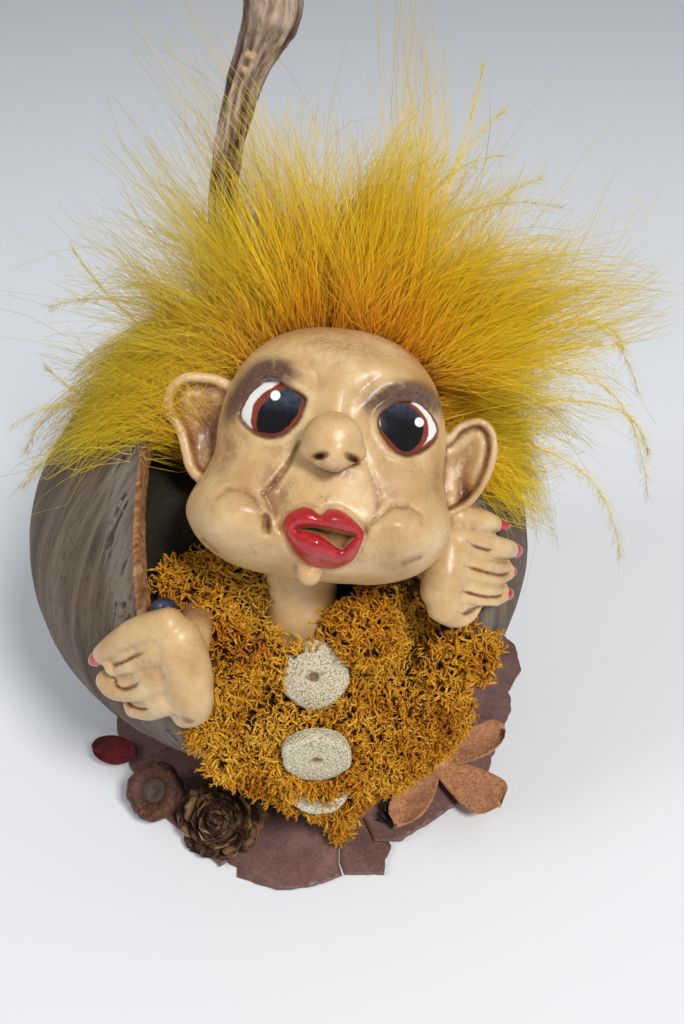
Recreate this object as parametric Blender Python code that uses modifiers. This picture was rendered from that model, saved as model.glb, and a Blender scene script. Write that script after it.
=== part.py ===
"""Folk ornament: a modelled dough gnome that sits in a hollow seed pod on a rosette of leaves.

Metres, +Z up. The origin is on the table under the middle of the rosette, and the gnome faces -Y.
The head has axes of its own: +X to its left side as the viewer sees it (the viewer's right),
-Y out of the face and +Z to the crown. Everything on the face is placed in those axes.
"""

import math

import bmesh
import bpy
from mathutils import Matrix, Vector
from mathutils.bvhtree import BVHTree

MM = 0.001

# Fits
SEAT_GAP = 0.35 * MM

# Leaf rosette
LEAF_THICKNESS = 0.7 * MM
LEAF_LAYER_GAP = 0.3 * MM
LEAF_HUB = 9.0 * MM
LEAF_STEM = 7.0 * MM
LEAF_RADIUS = 61.0 * MM
LEAF_SLIT = 11.0 * MM
LEAF_SLIT_WIDTH = 0.7 * MM

# Seed pod
POD_CENTRE = Vector((-4.0, 2.0, 62.5)) * MM
POD_HALF_WIDTH = 64.0 * MM
POD_HALF_DEPTH = 58.0 * MM
POD_HALF_HEIGHT = 58.0 * MM
POD_WALL = 7.0 * MM
OPENING_YAW = math.radians(10.0)
OPENING_TILT = math.radians(22.0)
OPENING_HALF_WIDTH = 39.0 * MM
OPENING_HALF_HEIGHT = 60.0 * MM
OPENING_RISE = 10.0 * MM
OPENING_SHIFT = 2.0 * MM
OPENING_SQUARENESS = 2.8
RIM_SLOPE = 0.9
GLUE_RADIUS = 19.0 * MM
GLUE_HEIGHT = 6.0 * MM

# Filling and moss coat
FOAM_FRONT = 33.0 * MM
FOAM_TOP = 98.0 * MM
FOAM_CLEARANCE = 0.9 * MM
BELLY_CENTRE = Vector((5.5, -2.0, 38.0)) * MM
BELLY_HALF_WIDTH = 48.0 * MM
BELLY_HALF_DEPTH = 56.0 * MM
BELLY_HALF_HEIGHT = 32.0 * MM
PLACKET_HALF_WIDTH = 9.5 * MM
PLACKET_PROUD = 1.6 * MM
SHOULDER_LEFT = Vector((-20.0, -33.0, 74.0)) * MM
SHOULDER_RIGHT = Vector((17.0, -38.0, 69.5)) * MM
SHOULDER_RADIUS = 8.5 * MM
TAIL_TOP = 27.5 * MM
TAIL_DROP = 22.5 * MM
TAIL_RADIUS = 6.5 * MM
BUTTON_RADIUS = 8.2 * MM
BUTTON_THICKNESS = 3.6 * MM
# Each button's height, tilt and depth in the moss; the lowest is tucked behind the middle one
BUTTONS = {
    "button_top": (61.5 * MM, math.radians(30.0), 0.8 * MM),
    "button_middle": (49.5 * MM, 0.0, 0.8 * MM),
    "button_bottom": (39.1 * MM, math.radians(28.0), 6.7 * MM),
}

# Head
HEAD_CENTRE = Vector((10.0, -22.0, 107.8)) * MM
HEAD_TILT = math.radians(38.0)
HEAD_ROLL = math.radians(8.2)
HEAD_HALF_WIDTH = 24.5 * MM
HEAD_HALF_DEPTH = 22.0 * MM
HEAD_HALF_HEIGHT = 27.0 * MM
CROWN_SQUARENESS = 2.4
JAW_SQUARENESS = 3.2
LEFT_JOWL = 0.27
RIGHT_JOWL = 0.18
NOSE_RADIUS = 5.6 * MM
NOSE_PROUD = 7.6 * MM
NOSE_HEIGHT = 2.2 * MM
EYE_RADIUS = 7.3 * MM
EYE_PROUD = 3.9 * MM
EYE_SPACING = 27.6 * MM
EYE_HEIGHT = 7.7 * MM
LID_THICKNESS = 1.1 * MM
MOUTH_HEIGHT = -15.8 * MM
EAR_HALF_WIDTH = 6.6 * MM
EAR_HALF_HEIGHT = 11.4 * MM
EAR_THICKNESS = 3.0 * MM
EAR_DISH = 2.0 * MM
EAR_HEIGHT = 1.6 * MM
CHIN_RADIUS = 2.7 * MM

# Neck and skewer
NECK_RADIUS = 8.0 * MM
NECK_FOOT = Vector((1.5, -31.0, 61.0)) * MM
NECK_TOP = Vector((4.5, -26.5, 93.0)) * MM
DOWEL_RADIUS = 1.5 * MM
DOWEL_FOOT_DEPTH = 22.0 * MM
DOWEL_TOP_REACH = 8.0 * MM

# Hands
WIRE_RADIUS = 0.8 * MM
BERRY_RADIUS = 2.9 * MM
BERRY_ACROSS = -26.5 * MM
BERRY_HEIGHT = 84.6 * MM
BERRY_SINK = 2.6 * MM
WIRE_DEPTH = 14.0 * MM
RIGHT_HAND_SINK = 3.0 * MM
WRIST_RADIUS = 4.0 * MM

# Hair
PLUME_LENGTH = 58.0 * MM
PLUME_RADIUS = 6.0 * MM
PLUME_ROOT = 1.1 * MM
PLUME_DROOP = 9.0 * MM

# Finds round the foot
CONE_RADIUS = 12.3 * MM
CONE_HEIGHT = 15.0 * MM
CUP_RADIUS = 7.6 * MM
CUP_HEIGHT = 10.0 * MM
HUSK_LENGTH = 18.0 * MM
HUSK_WIDTH = 5.2 * MM
HUSK_THICKNESS = 1.7 * MM
KNOB_RADIUS = 3.2 * MM
PETAL_LENGTH = 5.2 * MM
PETAL_WIDTH = 4.2 * MM

# Where the finds stand: azimuth in degrees and share of the rosette's radius
CONE_SPOT = (-116.6, 0.825)
CUP_SPOT = (-142.2, 0.882)
HUSK_SPOT = (-35.3, 0.753)
PETAL_SPOT = (-163.4, 0.975)

LOWER_LAYER = 0.0
UPPER_LAYER = LEAF_THICKNESS + LEAF_LAYER_GAP
ROSETTE_TOP = UPPER_LAYER + LEAF_THICKNESS

# Colours
COLOURS = {
    "dough": ((0.62, 0.45, 0.26), 0.35),
    "red_paint": ((0.55, 0.02, 0.02), 0.15),
    "eye_paint": ((0.80, 0.78, 0.72), 0.12),
    "lid_paint": ((0.25, 0.12, 0.09), 0.3),
    "moss": ((0.45, 0.19, 0.015), 0.9),
    "feather": ((0.62, 0.42, 0.01), 0.7),
    "pod_wood": ((0.15, 0.11, 0.08), 0.8),
    "bark": ((0.14, 0.09, 0.06), 0.85),
    "leaf": ((0.16, 0.07, 0.06), 0.7),
    "cone": ((0.08, 0.04, 0.02), 0.75),
    "husk": ((0.30, 0.14, 0.06), 0.8),
    "sand": ((0.55, 0.49, 0.36), 0.95),
    "berry": ((0.01, 0.015, 0.03), 0.3),
    "foam": ((0.12, 0.16, 0.07), 0.95),
    "steel": ((0.45, 0.45, 0.45), 0.35),
    "glue": ((0.70, 0.62, 0.45), 0.4),
}

for old in list(bpy.data.objects):
    bpy.data.objects.remove(old, do_unlink=True)


def new_collection(name):
    group = bpy.data.collections.new(name)
    bpy.context.scene.collection.children.link(group)
    return group


PARTS = new_collection("dough_figurine")
CUTTERS = new_collection("cutters")


def paint(name):
    """The material of one of COLOURS, made on first use."""
    found = bpy.data.materials.get(name)
    if found:
        return found
    colour, roughness = COLOURS[name]
    mat = bpy.data.materials.new(name)
    mat.use_nodes = True
    shader = mat.node_tree.nodes["Principled BSDF"]
    shader.inputs["Base Color"].default_value = (*colour, 1.0)
    shader.inputs["Roughness"].default_value = roughness
    shader.inputs["Metallic"].default_value = 1.0 if name == "steel" else 0.0
    return mat


def place(name, bm, finish, matrix=None, collection=None):
    """Turn a bmesh into a named object of the ornament, or into a cutter."""
    bmesh.ops.recalc_face_normals(bm, faces=bm.faces[:])
    mesh = bpy.data.meshes.new(name)
    bm.to_mesh(mesh)
    bm.free()
    mesh.materials.append(paint(finish))
    mesh.shade_smooth()
    mesh.set_sharp_from_angle(angle=math.radians(50))
    obj = bpy.data.objects.new(name, mesh)
    if matrix:
        obj.matrix_world = matrix
    (collection or PARTS).objects.link(obj)
    return obj


def cutter(name, bm, matrix=None):
    obj = place(name, bm, "glue", matrix, CUTTERS)
    obj.hide_render = True
    obj.display_type = "WIRE"
    return obj


def subtract(target, *tools, crossing=False):
    """Cut tools out of a target; crossing is for cuts that run through each other."""
    for tool in tools:
        cut = target.modifiers.new("cut by " + tool.name, "BOOLEAN")
        cut.operation = "DIFFERENCE"
        cut.object = tool
        cut.use_self = crossing


def solidify(target, thickness, offset):
    shell = target.modifiers.new("wall", "SOLIDIFY")
    shell.thickness = thickness
    shell.offset = offset
    shell.use_even_offset = True


def melt(target, grain, keep):
    """Fuse overlapping lumps into one skin, then thin its faces out to a share of them."""
    fuse = target.modifiers.new("fuse", "REMESH")
    fuse.mode = "VOXEL"
    fuse.voxel_size = grain
    fuse.use_smooth_shade = True
    thin = target.modifiers.new("thin", "DECIMATE")
    thin.ratio = keep


def ball(bm, centre, radii, segments=16, rings=10):
    """Add an ellipsoid to a bmesh and return its vertices."""
    made = bmesh.ops.create_uvsphere(bm, u_segments=segments, v_segments=rings, radius=1.0)["verts"]
    bmesh.ops.scale(bm, vec=Vector(radii), verts=made)
    bmesh.ops.translate(bm, vec=Vector(centre), verts=made)
    return made


def rod(bm, start, end, start_radius, end_radius, sides=14):
    """Add a closed cone or cylinder between two points."""
    run = end - start
    turn = run.to_track_quat("Z", "Y").to_matrix().to_4x4()
    bmesh.ops.create_cone(bm, cap_ends=True, segments=sides, radius1=start_radius, radius2=end_radius,
                          depth=run.length, matrix=Matrix.Translation((start + end) / 2) @ turn)


def chain(bm, points, radii):
    """Add rounded rods through the points, as rolled dough, which melt() fuses."""
    for point, radius in zip(points, radii):
        ball(bm, point, (radius, radius, radius), 14, 9)
    for k in range(len(points) - 1):
        rod(bm, points[k], points[k + 1], radii[k], radii[k + 1])


def slice_off(bm, point, normal):
    """Cut a closed bmesh by a plane, drop the side that the normal points to and close it."""
    geometry = bm.verts[:] + bm.edges[:] + bm.faces[:]
    cut = bmesh.ops.bisect_plane(bm, geom=geometry, plane_co=point, plane_no=normal, clear_outer=True)
    rim = [item for item in cut["geom_cut"] if isinstance(item, bmesh.types.BMEdge)]
    bmesh.ops.contextual_create(bm, geom=rim)


def tube_mesh(points, radii, resolution=1, cyclic=False):
    """A bmesh of a smooth tube whose radius changes from point to point."""
    curve = bpy.data.curves.new("tube", "CURVE")
    curve.dimensions = "3D"
    curve.bevel_depth = 1.0
    curve.bevel_resolution = resolution
    curve.use_fill_caps = True
    spline = curve.splines.new("POLY")
    spline.points.add(len(points) - 1)
    for target, point, radius in zip(spline.points, points, radii):
        target.co = (*point, 1.0)
        target.radius = radius
    spline.use_cyclic_u = cyclic
    carrier = bpy.data.objects.new("tube", curve)
    bpy.context.scene.collection.objects.link(carrier)
    bpy.context.view_layer.update()
    mesh = bpy.data.meshes.new_from_object(carrier.evaluated_get(bpy.context.evaluated_depsgraph_get()))
    bm = bmesh.new()
    bm.from_mesh(mesh)
    bmesh.ops.remove_doubles(bm, verts=bm.verts[:], dist=0.01 * MM)
    bpy.data.objects.remove(carrier)
    bpy.data.meshes.remove(mesh)
    return bm


def smooth_path(points, steps):
    """Points of a Catmull-Rom curve through vectors of any size."""
    padded = [points[0]] + list(points) + [points[-1]]
    path = []
    for k in range(1, len(padded) - 2):
        a, b, c, d = padded[k - 1:k + 3]
        for s in range(steps):
            t = s / steps
            path.append(0.5 * ((2 * b) + (c - a) * t + (2 * a - 5 * b + 4 * c - d) * t * t
                               + (3 * b - a - 3 * c + d) * t ** 3))
    path.append(points[-1].copy())
    return path


def ease(value, low, high):
    """0 below low, 1 above high and smooth between them."""
    t = min(max((value - low) / (high - low), 0.0), 1.0)
    return t * t * (3 - 2 * t)


# Pod


def pod_radii(grow=0.0):
    return Vector((POD_HALF_WIDTH + grow, POD_HALF_DEPTH + grow, POD_HALF_HEIGHT + grow))


def opening_axes():
    """Across, up and out of the pod's opening, as unit vectors."""
    out = Vector((math.sin(OPENING_YAW) * math.cos(OPENING_TILT),
                  -math.cos(OPENING_YAW) * math.cos(OPENING_TILT), math.sin(OPENING_TILT)))
    across = Vector((math.cos(OPENING_YAW), math.sin(OPENING_YAW), 0.0))
    return across, out.cross(across), out


ACROSS, UPWARD, OUTWARD = opening_axes()
OPENING_MIDDLE = POD_CENTRE + ACROSS * OPENING_SHIFT + UPWARD * OPENING_RISE
RIM_DEPTH = POD_HALF_DEPTH * 0.75


def opening_solid(shrink=0.0, steps=32):
    """The funnel that cuts the pod's opening: wider outside, so that the rim faces the viewer."""
    bm = bmesh.new()
    levels = (-0.25, 1.0, 2.4)
    loops = []
    for level in levels:
        depth = RIM_DEPTH * level
        spread = (level - 1.0) * RIM_DEPTH * RIM_SLOPE * (0.55 if level > 1 else 0.32)
        loop = []
        for k in range(steps):
            angle = 2 * math.pi * k / steps
            c, s = math.cos(angle), math.sin(angle)
            u = math.copysign(abs(c) ** (2 / OPENING_SQUARENESS), c) * (OPENING_HALF_WIDTH + spread - shrink)
            v = math.copysign(abs(s) ** (2 / OPENING_SQUARENESS), s) * (OPENING_HALF_HEIGHT + spread - shrink)
            loop.append(bm.verts.new(OPENING_MIDDLE + ACROSS * u + UPWARD * v + OUTWARD * depth))
        loops.append(loop)
    for low, high in zip(loops, loops[1:]):
        for k in range(steps):
            n = (k + 1) % steps
            bm.faces.new((low[k], low[n], high[n], high[k]))
    bm.faces.new(loops[0])
    bm.faces.new(loops[-1])
    return bm


def make_pod():
    bm = bmesh.new()
    ball(bm, POD_CENTRE, pod_radii(), 28, 18)
    pod = place("seed_pod", bm, "pod_wood")
    solidify(pod, POD_WALL, -1.0)
    subtract(pod, cutter("opening_cutter", opening_solid()))
    return pod


def pod_bulk():
    """The pod as a solid without its opening, grown by the seat gap, to seat the moss round it."""
    bm = bmesh.new()
    ball(bm, POD_CENTRE, pod_radii(SEAT_GAP), 28, 18)
    bulk = cutter("pod_bulk_cutter", bm)
    subtract(bulk, cutter("opening_clear_cutter", opening_solid(SEAT_GAP)))
    return bulk


def on_pod(x, z, stand_off):
    """The point in front of the pod's outer surface at x and z, stand_off away from it."""
    radii = pod_radii(stand_off)
    rest = 1 - ((x - POD_CENTRE.x) / radii.x) ** 2 - ((z - POD_CENTRE.z) / radii.z) ** 2
    return Vector((x, POD_CENTRE.y - radii.y * math.sqrt(max(rest, 0.0)), z))


# Leaves and glue

# Each leaf's rim, as pairs of azimuth in degrees and share of the rosette's radius
LEAVES = {
    "leaf_front": (LOWER_LAYER, ((-113, 0.93), (-108, 0.94), (-107, 0.985), (-97, 1.02), (-88, 1.0),
                                 (-80.5, 0.965), (-71, 1.01), (-69, 0.945), (-66, 0.9))),
    "leaf_right": (LOWER_LAYER, ((-14, 0.955), (-6, 1.0), (1, 1.0), (8, 1.09), (17, 1.12), (28, 1.08),
                                 (42, 0.93))),
    "leaf_back_left": (LOWER_LAYER, ((92, 0.9), (110, 1.0), (128, 1.02), (146, 0.98), (160, 0.88))),
    "leaf_front_right": (UPPER_LAYER, ((-70, 0.86), (-63, 0.905), (-58, 0.9), (-52, 0.905), (-44, 0.92),
                                       (-32, 0.96), (-20, 0.95), (-10, 0.87))),
    "leaf_left": (UPPER_LAYER, ((-203, 0.86), (-188, 0.95), (-170, 0.93), (-152, 0.9), (-133, 0.9),
                                (-121, 0.92), (-112, 0.975), (-109, 0.9))),
    "leaf_back": (UPPER_LAYER, ((36, 0.84), (52, 0.97), (70, 1.03), (90, 0.98), (106, 0.86))),
}


def leaf_outline(rim, reaches_origin):
    """A closed outline: narrow at the hub, swelling to the given rim."""
    def spot(degrees, radius):
        angle = math.radians(degrees)
        return Vector((radius * math.cos(angle), radius * math.sin(angle), 0.0))

    first, last = rim[0][0], rim[-1][0]
    middle = (first + last) / 2
    outer = [spot(angle, share * LEAF_RADIUS) for angle, share in rim]
    slender = 0.55
    sides = []
    for side in (last, first):
        lean = middle + (side - middle) * slender
        sides.append([spot(lean, LEAF_HUB), spot(middle + (side - middle) * 0.96, LEAF_RADIUS * 0.5)])
    hub = [spot(middle + 180, LEAF_STEM)] if reaches_origin else []
    return outer + [sides[0][1], sides[0][0]] + hub + [sides[1][0], sides[1][1]]


def make_leaf(name, layer, rim):
    outline = leaf_outline(rim, name == "leaf_front")
    if name == "leaf_front":
        slit_foot = outline[5].normalized() * (outline[5].length - LEAF_SLIT)
        sideways = Vector((-outline[5].y, outline[5].x, 0.0)).normalized() * LEAF_SLIT_WIDTH
        outline[5:6] = [outline[5] - sideways, slit_foot, outline[5] + sideways]
    curve = bpy.data.curves.new(name, "CURVE")
    curve.dimensions = "2D"
    curve.fill_mode = "BOTH"
    curve.extrude = LEAF_THICKNESS / 2
    spline = curve.splines.new("POLY")
    spline.points.add(len(outline) - 1)
    for target, point in zip(spline.points, outline):
        target.co = (point.x, point.y, 0.0, 1.0)
    spline.use_cyclic_u = True
    curve.materials.append(paint("leaf"))
    leaf = bpy.data.objects.new(name, curve)
    leaf.location = (0.0, 0.0, layer + LEAF_THICKNESS / 2)
    PARTS.objects.link(leaf)


def make_glue_pad(bulk_cutter):
    bm = bmesh.new()
    foot = Vector((POD_CENTRE.x, POD_CENTRE.y, ROSETTE_TOP + SEAT_GAP))
    rod(bm, foot, foot + Vector((0, 0, GLUE_HEIGHT)), GLUE_RADIUS, GLUE_RADIUS * 0.86, 28)
    subtract(place("glue_pad", bm, "glue"), bulk_cutter)


# Head


def head_matrix():
    up = Vector((0.0, math.sin(HEAD_TILT), math.cos(HEAD_TILT)))
    back = Vector((0.0, math.cos(HEAD_TILT), -math.sin(HEAD_TILT)))
    right = Vector((1.0, 0.0, 0.0))
    right_rolled = right * math.cos(HEAD_ROLL) - up * math.sin(HEAD_ROLL)
    up_rolled = right * math.sin(HEAD_ROLL) + up * math.cos(HEAD_ROLL)
    turn = Matrix((right_rolled, back, up_rolled)).transposed().to_4x4()
    return Matrix.Translation(HEAD_CENTRE) @ turn


HEAD = head_matrix()

# Soft mounds on the face: place, width and height as shares of the head's half width and
# half height, and lift as a share of its half depth
FACE_MOUNDS = (
    (-0.56, 0.28, 0.29, 0.26, -0.19),
    (0.56, 0.28, 0.29, 0.26, -0.19),
    (-0.56, 0.62, 0.34, 0.13, 0.07),
    (0.56, 0.62, 0.34, 0.13, 0.07),
    (-0.78, -0.40, 0.36, 0.26, 0.20),
    (0.78, -0.36, 0.36, 0.26, 0.20),
    (0.02, -0.54, 0.40, 0.32, 0.20),
    (0.00, 0.22, 0.13, 0.26, 0.10),
    (0.00, 0.80, 0.70, 0.22, 0.05),
    (-0.02, -0.92, 0.24, 0.12, 0.10),
)

# Creases: both ends, width and depth, as the same shares
FACE_CREASES = (
    (-0.22, 0.02, -0.50, -0.36, 0.10, -0.06),
    (0.26, 0.00, 0.50, -0.28, 0.09, -0.04),
    (-0.66, -0.38, -0.36, -0.55, 0.09, -0.06),
    (0.36, -0.50, 0.66, -0.30, 0.09, -0.06),
    (-0.88, -0.78, -0.80, -0.84, 0.09, -0.05),
    (0.78, -0.70, 0.84, -0.76, 0.09, -0.05),
)


def crease_distance(x, z, x0, z0, x1, z1):
    run = Vector((x1 - x0, z1 - z0))
    along = Vector((x - x0, z - z0)).dot(run) / run.length_squared
    along = min(max(along, 0.0), 1.0)
    return (Vector((x - x0, z - z0)) - run * along).length


def head_skin(direction, grow=0.0):
    """The point of the head's skin in a direction from its centre, in head axes."""
    shares = [abs(direction[k]) / size for k, size in
              enumerate((HEAD_HALF_WIDTH, HEAD_HALF_DEPTH, HEAD_HALF_HEIGHT))]
    squareness = CROWN_SQUARENESS + (JAW_SQUARENESS - CROWN_SQUARENESS) * ease(-direction.z, 0.0, 0.5)
    radius = sum(share ** squareness for share in shares) ** (-1 / squareness)
    point = direction * radius
    low = -point.z / HEAD_HALF_HEIGHT
    point.x *= 1 + (LEFT_JOWL if point.x < 0 else RIGHT_JOWL) * ease(low, 0.05, 0.62)
    front = ease(-point.y / HEAD_HALF_DEPTH, 0.08, 0.55)
    x, z = point.x / HEAD_HALF_WIDTH, point.z / HEAD_HALF_HEIGHT
    lift = 0.0
    for mx, mz, width, height, amount in FACE_MOUNDS:
        lift += amount * math.exp(-((x - mx) / width) ** 2 - ((z - mz) / height) ** 2)
    for x0, z0, x1, z1, width, amount in FACE_CREASES:
        lift += amount * math.exp(-(crease_distance(x, z, x0, z0, x1, z1) / width) ** 2)
    point.y -= lift * front * HEAD_HALF_DEPTH
    return point * (1 + grow / point.length)


def head_bmesh(grow=0.0, fine=True):
    bm = bmesh.new()
    bmesh.ops.create_icosphere(bm, subdivisions=4, radius=1.0)
    if fine:
        facing = [face for face in bm.faces if face.calc_center_median().y < -0.72]
        edges = {edge for face in facing for edge in face.edges}
        bmesh.ops.subdivide_edges(bm, edges=list(edges), cuts=1, use_grid_fill=True)
        bmesh.ops.triangulate(bm, faces=[face for face in bm.faces if len(face.verts) > 3])
    for vert in bm.verts:
        vert.co = head_skin(vert.co.normalized(), grow)
    return bm


def face_finder():
    bm = head_bmesh()
    tree = BVHTree.FromBMesh(bm)
    bm.free()
    return tree


FACE = face_finder()


def face_depth(x, z):
    """The head-axis y of the skin in front of x and z."""
    hit = FACE.ray_cast(Vector((x, -3 * HEAD_HALF_DEPTH, z)), Vector((0, 1, 0)))[0]
    return hit.y if hit else 0.0


def eye_centre(side):
    x = side * EYE_SPACING / 2
    return Vector((x, face_depth(x, EYE_HEIGHT) - EYE_PROUD + EYE_RADIUS, EYE_HEIGHT))


def make_eye(side, word, head_tool):
    centre = eye_centre(side)
    bm = bmesh.new()
    ball(bm, centre, (EYE_RADIUS,) * 3, 14, 9)
    place(word + "_eye", bm, "eye_paint", HEAD)
    bm = bmesh.new()
    ball(bm, centre, (EYE_RADIUS + SEAT_GAP,) * 3, 14, 9)
    socket = cutter(word + "_socket_cutter", bm, HEAD)
    for lid, height, slant, sign in (("upper_lid", 0.50, -0.25, 1), ("lower_lid", -0.62, -0.10, -1)):
        bm = bmesh.new()
        ball(bm, centre, (EYE_RADIUS + SEAT_GAP + LID_THICKNESS,) * 3, 16, 11)
        edge = Vector((side * slant, 0.0, 1.0)) * -sign
        slice_off(bm, centre + Vector((0, 0, height * EYE_RADIUS)), edge)
        subtract(place(word + "_" + lid, bm, "lid_paint", HEAD), socket, head_tool)
    return socket


def make_nose(head_tool):
    bm = bmesh.new()
    tip = Vector((0.4 * MM, face_depth(0.4 * MM, NOSE_HEIGHT) - NOSE_PROUD + NOSE_RADIUS, NOSE_HEIGHT))
    ball(bm, tip, (NOSE_RADIUS, NOSE_RADIUS, NOSE_RADIUS * 0.92), 18, 12)
    for side in (-1, 1):
        wing = tip + Vector((side * 0.62, 0.35, -0.25)) * NOSE_RADIUS
        ball(bm, wing, (NOSE_RADIUS * 0.5,) * 3, 14, 10)
    bridge = tip + Vector((0, 0.55, 0.9)) * NOSE_RADIUS
    ball(bm, bridge, (NOSE_RADIUS * 0.55, NOSE_RADIUS * 0.5, NOSE_RADIUS * 0.8), 14, 10)
    nose = place("nose", bm, "dough", HEAD)
    melt(nose, 0.5 * MM, 0.06)
    subtract(nose, head_tool)


# Lip lines: x, z and thickness radius about the middle of the mouth, in millimetres
UPPER_LIP = ((-8.9, 2.7, 0.5), (-7.0, 3.9, 1.6), (-4.6, 4.2, 2.2), (-1.5, 3.2, 1.9), (1.6, 4.1, 2.2),
             (4.6, 3.6, 2.0), (7.2, 2.5, 1.4), (8.9, 1.5, 0.5))
LOWER_LIP = ((-8.5, 0.9, 0.5), (-6.6, -1.4, 1.7), (-3.2, -3.6, 2.4), (0.3, -4.3, 2.6), (3.8, -3.8, 2.4),
             (6.6, -1.9, 1.7), (8.5, -0.2, 0.5))
MOUTH_SHIFT = 0.7 * MM


def make_lip(name, line, head_tool):
    places = smooth_path([Vector(point) * MM for point in line], 2)
    path = []
    for spot in places:
        x, z = spot.x + MOUTH_SHIFT, spot.y + MOUTH_HEIGHT
        path.append(Vector((x, face_depth(x, z) - 0.35 * spot.z, z)))
    lip = place(name, tube_mesh(path, [spot.z for spot in places], 2), "red_paint", HEAD)
    subtract(lip, head_tool)


def make_ear(word, side, lean, head_tool):
    """A dished oval: a thick rim round a hollow that faces the viewer."""
    bm = bmesh.new()
    ball(bm, (0, 0, 0), (1, 1, 1), 16, 10)
    for vert in bm.verts:
        x, y, z = vert.co
        reach = math.hypot(x, z)
        hollow = EAR_DISH * max(0.0, 1 - (reach / 0.72) ** 2) * ease(-y, 0.0, 0.4)
        taper = 1 - 0.22 * ease(-z, 0.0, 1.0)
        vert.co = Vector((x * EAR_HALF_WIDTH * taper, y * EAR_THICKNESS + hollow * 1.35, z * EAR_HALF_HEIGHT))
    spot = Vector((side * (HEAD_HALF_WIDTH + 0.80 * EAR_HALF_WIDTH), 1.0 * MM, EAR_HEIGHT))
    turn = Matrix.Rotation(lean, 4, "Y") @ Matrix.Rotation(side * math.radians(14), 4, "Z")
    ear = place(word + "_ear", bm, "dough", HEAD @ Matrix.Translation(spot) @ turn)
    subtract(ear, head_tool)


def make_chin(head_tool):
    x, z = -0.03 * HEAD_HALF_WIDTH, -0.88 * HEAD_HALF_HEIGHT
    bm = bmesh.new()
    ball(bm, (x, face_depth(x, z) - 0.1 * CHIN_RADIUS, z - 0.4 * CHIN_RADIUS), (CHIN_RADIUS,) * 3, 14, 10)
    subtract(place("chin_knob", bm, "dough", HEAD), head_tool)


# Neck


def neck_axis():
    return (NECK_TOP - NECK_FOOT).normalized()


def neck_rod(grow):
    bm = bmesh.new()
    rod(bm, NECK_FOOT - neck_axis() * grow, NECK_TOP, NECK_RADIUS + grow, NECK_RADIUS * 0.88 + grow, 24)
    return bm


def dowel_rod(grow):
    bm = bmesh.new()
    foot = NECK_FOOT - neck_axis() * (DOWEL_FOOT_DEPTH + grow)
    top = NECK_TOP + neck_axis() * (DOWEL_TOP_REACH + grow)
    rod(bm, foot, top, DOWEL_RADIUS + grow, DOWEL_RADIUS + grow, 12)
    return bm


# Hands: each finger as spots on the pod, x and z in millimetres and radius, knuckle first
LEFT_FINGERS = (
    ((-25.0, 87.0, 3.3), (-32.5, 83.0, 3.1), (-38.5, 77.0, 2.8), (-42.5, 71.5, 2.3)),
    ((-25.5, 82.0, 3.5), (-33.0, 77.0, 3.3), (-38.5, 71.5, 2.9), (-41.0, 68.0, 2.5)),
    ((-25.5, 77.0, 3.5), (-32.0, 71.0, 3.3), (-37.5, 65.5, 2.9)),
    ((-24.5, 72.0, 3.4), (-29.0, 66.5, 3.2), (-32.5, 62.5, 2.8)),
    ((-19.0, 73.0, 4.2), (-20.5, 68.0, 3.7)),
)
LEFT_PALM = ((-21.5, 83.0, 4.6), (-21.0, 78.0, 5.2), (-20.5, 73.5, 4.8))
LEFT_WRIST = Vector((-14.5, -41.0, 66.0)) * MM
RIGHT_FINGERS = (
    ((38.0, 93.5, 2.9), (43.0, 92.0, 2.8), (47.5, 88.0, 2.3)),
    ((37.5, 89.5, 3.3), (44.5, 87.5, 3.1), (51.0, 82.0, 2.5)),
    ((37.0, 86.5, 3.4), (43.5, 84.0, 3.2), (49.0, 80.0, 2.7)),
    ((36.5, 81.5, 3.4), (42.5, 79.5, 3.2), (48.0, 76.0, 2.7)),
    ((34.0, 78.5, 3.4), (37.5, 77.0, 3.0), (40.0, 76.5, 2.4)),
)
RIGHT_PALM = ((35.5, 89.5, 3.6), (34.5, 86.0, 4.4), (34.0, 82.0, 4.4))
RIGHT_WRIST = Vector((25.0, -28.0, 74.0)) * MM


def hand_bmesh(fingers, palm, wrist, sink, grow=0.0):
    """Fingers side by side over the pod's rim, from a palm that the wrist joins to the coat."""
    bm = bmesh.new()
    for finger in list(fingers) + [palm]:
        radii = [spot[2] * MM + grow for spot in finger]
        points = [on_pod(spot[0] * MM, spot[1] * MM, spot[2] * MM + SEAT_GAP) for spot in finger]
        points[0].y += sink
        chain(bm, points, radii)
    middle = palm[1]
    start = on_pod(middle[0] * MM, middle[1] * MM, middle[2] * MM)
    chain(bm, [start, wrist], [middle[2] * MM + grow, WRIST_RADIUS + grow])
    return bm


def make_hand(word, fingers, palm, wrist, sink, tools):
    hand = place(word + "_hand", hand_bmesh(fingers, palm, wrist, sink), "dough")
    melt(hand, 0.6 * MM, 0.036)
    subtract(hand, *tools)
    room = cutter(word + "_hand_cutter", hand_bmesh(fingers, palm, wrist, sink, 2 * SEAT_GAP))
    melt(room, 0.6 * MM, 0.036)
    return room


def wire_bmesh(palm, wrist, grow):
    middle = on_pod(palm[1][0] * MM, palm[1][1] * MM, palm[1][2] * MM)
    inward = (wrist - middle).normalized()
    bm = bmesh.new()
    rod(bm, middle.lerp(wrist, 0.35) - inward * grow, wrist + inward * (WIRE_DEPTH + grow),
        WIRE_RADIUS + grow, WIRE_RADIUS + grow, 10)
    return bm


# Moss coat


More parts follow.
